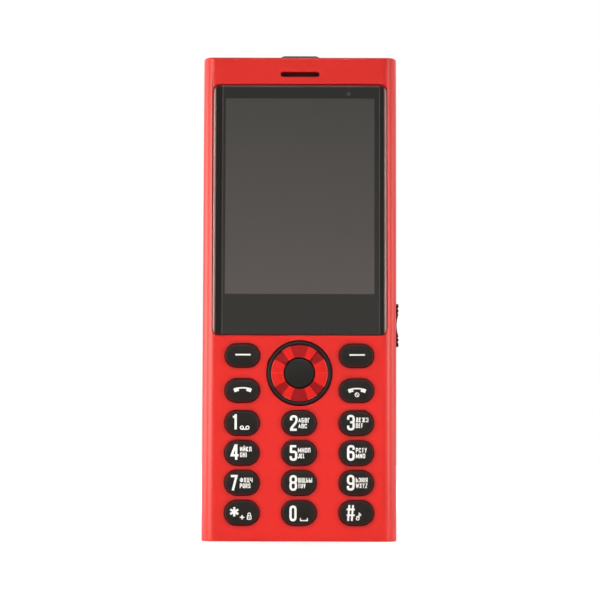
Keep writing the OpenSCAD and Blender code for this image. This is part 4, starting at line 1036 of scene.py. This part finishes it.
navRim = dict(outer=9.275, inner=8.125, crest=-8.25, base=-4.74, flange=9.775, flangeFront=-5.14, floor=-6.6,
              bore=4.55, crestSteps=15, points=144)
okKey = dict(radius=4.3, top=-8.3, crown=30.0, edge=0.42, flange=4.85, flangeFront=-4.44, flangeBack=-4.09,
             nub=1.1, nubBack=-3.7, pole=0.06, edgeSteps=9, crownSteps=10, points=96)


def makeNavRim(look):
    # profile: flange, outer wall, half-round crest, inner wall, floor under the facets, bore
    middle = (look["outer"] + look["inner"]) / 2
    half = (look["outer"] - look["inner"]) / 2
    t = np.radians(np.linspace(0, -180, look["crestSteps"]))
    crest = np.c_[middle + half * np.cos(t), look["crest"] + half + half * np.sin(t)]
    before = [[look["flange"], look["base"]], [look["flange"], look["flangeFront"]],
              [look["outer"], look["flangeFront"]]]
    after = [[look["inner"], look["floor"]], [look["bore"], look["floor"]], [look["bore"], look["base"]]]
    profile = np.vstack([before, crest, after])
    piece = lathe("ring_nav", profile, navCentre[[0, 2]], materials["rim_black"], look["points"])
    mount(piece, "nav_ring_body", "nav_rim")


def makeOkKey(look):
    # crowned disc: nub and flange behind, wall, quarter-round edge, ball-shaped top
    inset, drop = quarterRound(look["edge"], look["edgeSteps"])
    r = look["radius"] - inset
    edge = np.c_[r, crownDepth(r, 0 * r, look) + drop]
    r = np.linspace(look["radius"] - look["edge"], look["pole"], look["crownSteps"])[1:]
    top = np.c_[r, crownDepth(r, 0 * r, look)]
    behind = [[look["pole"], look["nubBack"]], [look["nub"], look["nubBack"]],
              [look["nub"], look["flangeBack"]], [look["flange"], look["flangeBack"]],
              [look["flange"], look["flangeFront"]], [look["radius"], look["flangeFront"]]]
    profile = np.vstack([behind, edge, top])
    piece = lathe("cap_ok", profile, navCentre[[0, 2]], materials["key_black"], look["points"], False)
    mount(piece, "ok_key_body", "ok_key")


makeNavRim(navRim)
makeOkKey(okKey)
print("navigation key ready")


# Display window

windowShape = dict(radius=1.9, shrink=0.1, topGap=0.22, edge=0.3, edgeSteps=7, sideRound=4.45, flatHalf=23.5,
                   front=-7.45, thick=0.95, points=160, inner=(0.5, 0.8, 1.1, 1.4, 1.7))


def makeWindow(look):
    # rings of a rounded rectangle: back edge, quarter-round edge, then inwards; the front follows the body's
    # long edge rounding, y = front + R - sqrt(R^2 - (|x| - flat)^2) beyond the flat part, and no ring lies
    # behind the back plane
    width = (winHigh.x - winLow.x) / mm - 2 * look["shrink"]
    height = (winHigh.z - winLow.z) / mm - 2 * look["shrink"] - look["topGap"]
    middle = (winHigh.z + winLow.z) / 2 / mm - look["topGap"] / 2
    inset, drop = quarterRound(look["edge"], look["edgeSteps"])
    insets = np.r_[0.0, inset, look["inner"]]
    drops = np.r_[np.inf, drop, np.zeros(len(look["inner"]))]
    rings, depths = [], []
    for inset, drop in zip(insets, drops):
        ring = roundedRect(width - 2 * inset, height - 2 * inset, look["radius"] - inset, look["points"])
        past = np.clip(np.abs(ring[:, 0]) - look["flatHalf"], 0, None)
        depth = look["front"] + look["sideRound"] - np.sqrt(look["sideRound"] ** 2 - past ** 2) + drop
        rings.append(ring)
        depths.append(np.minimum(depth, look["front"] + look["thick"]))
    piece = putRings("pane_display", rings, depths, (0, 0, middle), materials["window_black"])
    mount(piece, "phone", "display_window")


makeWindow(windowShape)
print("display window ready")


# Studio

studio = dict(fill=0.20, warm=(1.0, 0.96, 0.86), white=(1.0, 1.0, 1.0),
              floorTone=(0.86, 0.86, 0.86, 1), floorGlow=0.40, floorFar=1.0, nearFloor=0.16, farFloor=0.5,
              floorHalf=3000.0)
view = dict(distance=0.6, pitch=4.163, roll=0.158, aimX=0.00012, aimZ=0.06958, focal=2062.46, across=600,
            sensor=36.0, clip=(0.01, 20.0))  # focal length and picture width in pixels
# azimuth from the front and elevation in degrees; distance, aim height and size in metres; watts; spread
lamps = {
    "strip_left_front": (-59, 4.2, 0.75, 0.07, (0.38, 0.26), 3.4, 180),
    "strip_left_rear": (-100, 4.2, 0.75, 0.07, (0.38, 0.26), 1.9, 180),
    "strip_right_front": (59, 4.2, 0.75, 0.07, (0.26, 0.26), 1.75, 180),
    "strip_right_rear": (95, 4.2, 0.75, 0.07, (0.24, 0.26), 0.80, 180),
    "soft_top": (0, 52, 1.0, 0.07, (0.9, 0.6), 0.8, 180),
    "spot_keypad": (0, 36, 1.0, 0.01, (0.16, 0.08), 0.04, 18),
    "soft_rear_left": (215, 32, 1.0, 0.07, (0.6, 0.6), 2.6, 180),
    "soft_rear_right": (145, 32, 1.0, 0.07, (0.6, 0.6), 2.6, 180),
}


def addLamp(name, azimuth, elevation, reach, aim, size, power, spread):
    # an area lamp at two angles and a distance from the aim point, turned towards it
    lamp = bpy.data.lights.new(name, "AREA")
    lamp.shape = "RECTANGLE"
    lamp.size, lamp.size_y = size
    lamp.energy = power
    lamp.color = studio["warm"] if name.startswith("strip") else studio["white"]
    lamp.spread = math.radians(spread)
    a, e = math.radians(azimuth), math.radians(elevation)
    away = Vector((math.sin(a) * math.cos(e), -math.cos(a) * math.cos(e), math.sin(e))) * reach
    holder = putObject(name, lamp)
    holder.location = away + Vector((0, 0, aim))
    holder.rotation_euler = (-away).to_track_quat("-Z", "Y").to_euler()


def makeWorld(look):
    # white where it is seen, directly or in a reflection, and a weaker fill for everything else
    world = bpy.data.worlds.new("studio")
    scene.world = world
    world.use_nodes = True
    sky = world.node_tree
    sky.nodes.clear()
    rays = addNode(sky, "ShaderNodeLightPath")
    seen = calc(sky, "MAXIMUM", rays.outputs["Is Camera Ray"], rays.outputs["Is Glossy Ray"])
    seen = calc(sky, "MAXIMUM", seen, rays.outputs["Is Transmission Ray"])
    blend = addNode(sky, "ShaderNodeMixShader")
    sky.links.new(seen, blend.inputs[0])
    for index, strength in ((1, look["fill"]), (2, 1.0)):
        light = addNode(sky, "ShaderNodeBackground", {"Color": (*look["white"], 1), "Strength": strength})
        sky.links.new(light.outputs[0], blend.inputs[index])
    sky.links.new(blend.outputs[0], addNode(sky, "ShaderNodeOutputWorld").inputs[0])


def makeFloor(look):
    # white floor that glows a little for the camera near the phone and fully far away, so it meets the white
    # background without a line and still keeps the shadow
    fixed = {"Base Color": look["floorTone"], "Roughness": 0.9, "Specular IOR Level": 0.0,
             "Emission Color": (*look["white"], 1)}
    material, tree, shader, place = startMaterial("floor_white", fixed)
    x, y, _ = splitPlace(tree, place)
    far = ramp(tree, farFrom(tree, x, y), look["nearFloor"], look["farFloor"])
    glow = calc(tree, "MULTIPLY", far, look["floorFar"] - look["floorGlow"])
    glow = calc(tree, "ADD", glow, look["floorGlow"])
    rays = addNode(tree, "ShaderNodeLightPath")
    seen = calc(tree, "MAXIMUM", rays.outputs["Is Camera Ray"], rays.outputs["Is Glossy Ray"])
    tree.links.new(calc(tree, "MULTIPLY", glow, seen), shader.inputs["Emission Strength"])
    half = look["floorHalf"]
    corners = [(-half, -half, 0), (half, -half, 0), (half, half, 0), (-half, half, 0)]
    putMesh("floor", corners, [np.array([[0, 1, 2, 3]])], material, False, False)


def makeCamera(look):
    # stands in front and a little below the aim point, and looks up at it by the pitch
    camera = putObject("camera", bpy.data.cameras.new("camera"))
    scene.camera = camera
    camera.data.sensor_width = look["sensor"]
    camera.data.lens = look["focal"] / look["across"] * look["sensor"]
    camera.data.clip_start, camera.data.clip_end = look["clip"]
    pitch = math.radians(look["pitch"])
    camera.location = (look["aimX"], -look["distance"] * math.cos(pitch),
                       look["aimZ"] - look["distance"] * math.sin(pitch))
    tilt = Matrix.Rotation(math.radians(90) + pitch, 3, "X")
    camera.rotation_euler = (tilt @ Matrix.Rotation(math.radians(look["roll"]), 3, "Z")).to_euler()


for lampName, setting in lamps.items():
    addLamp(lampName, *setting)
makeWorld(studio)
makeFloor(studio)
makeCamera(view)
print("studio ready")
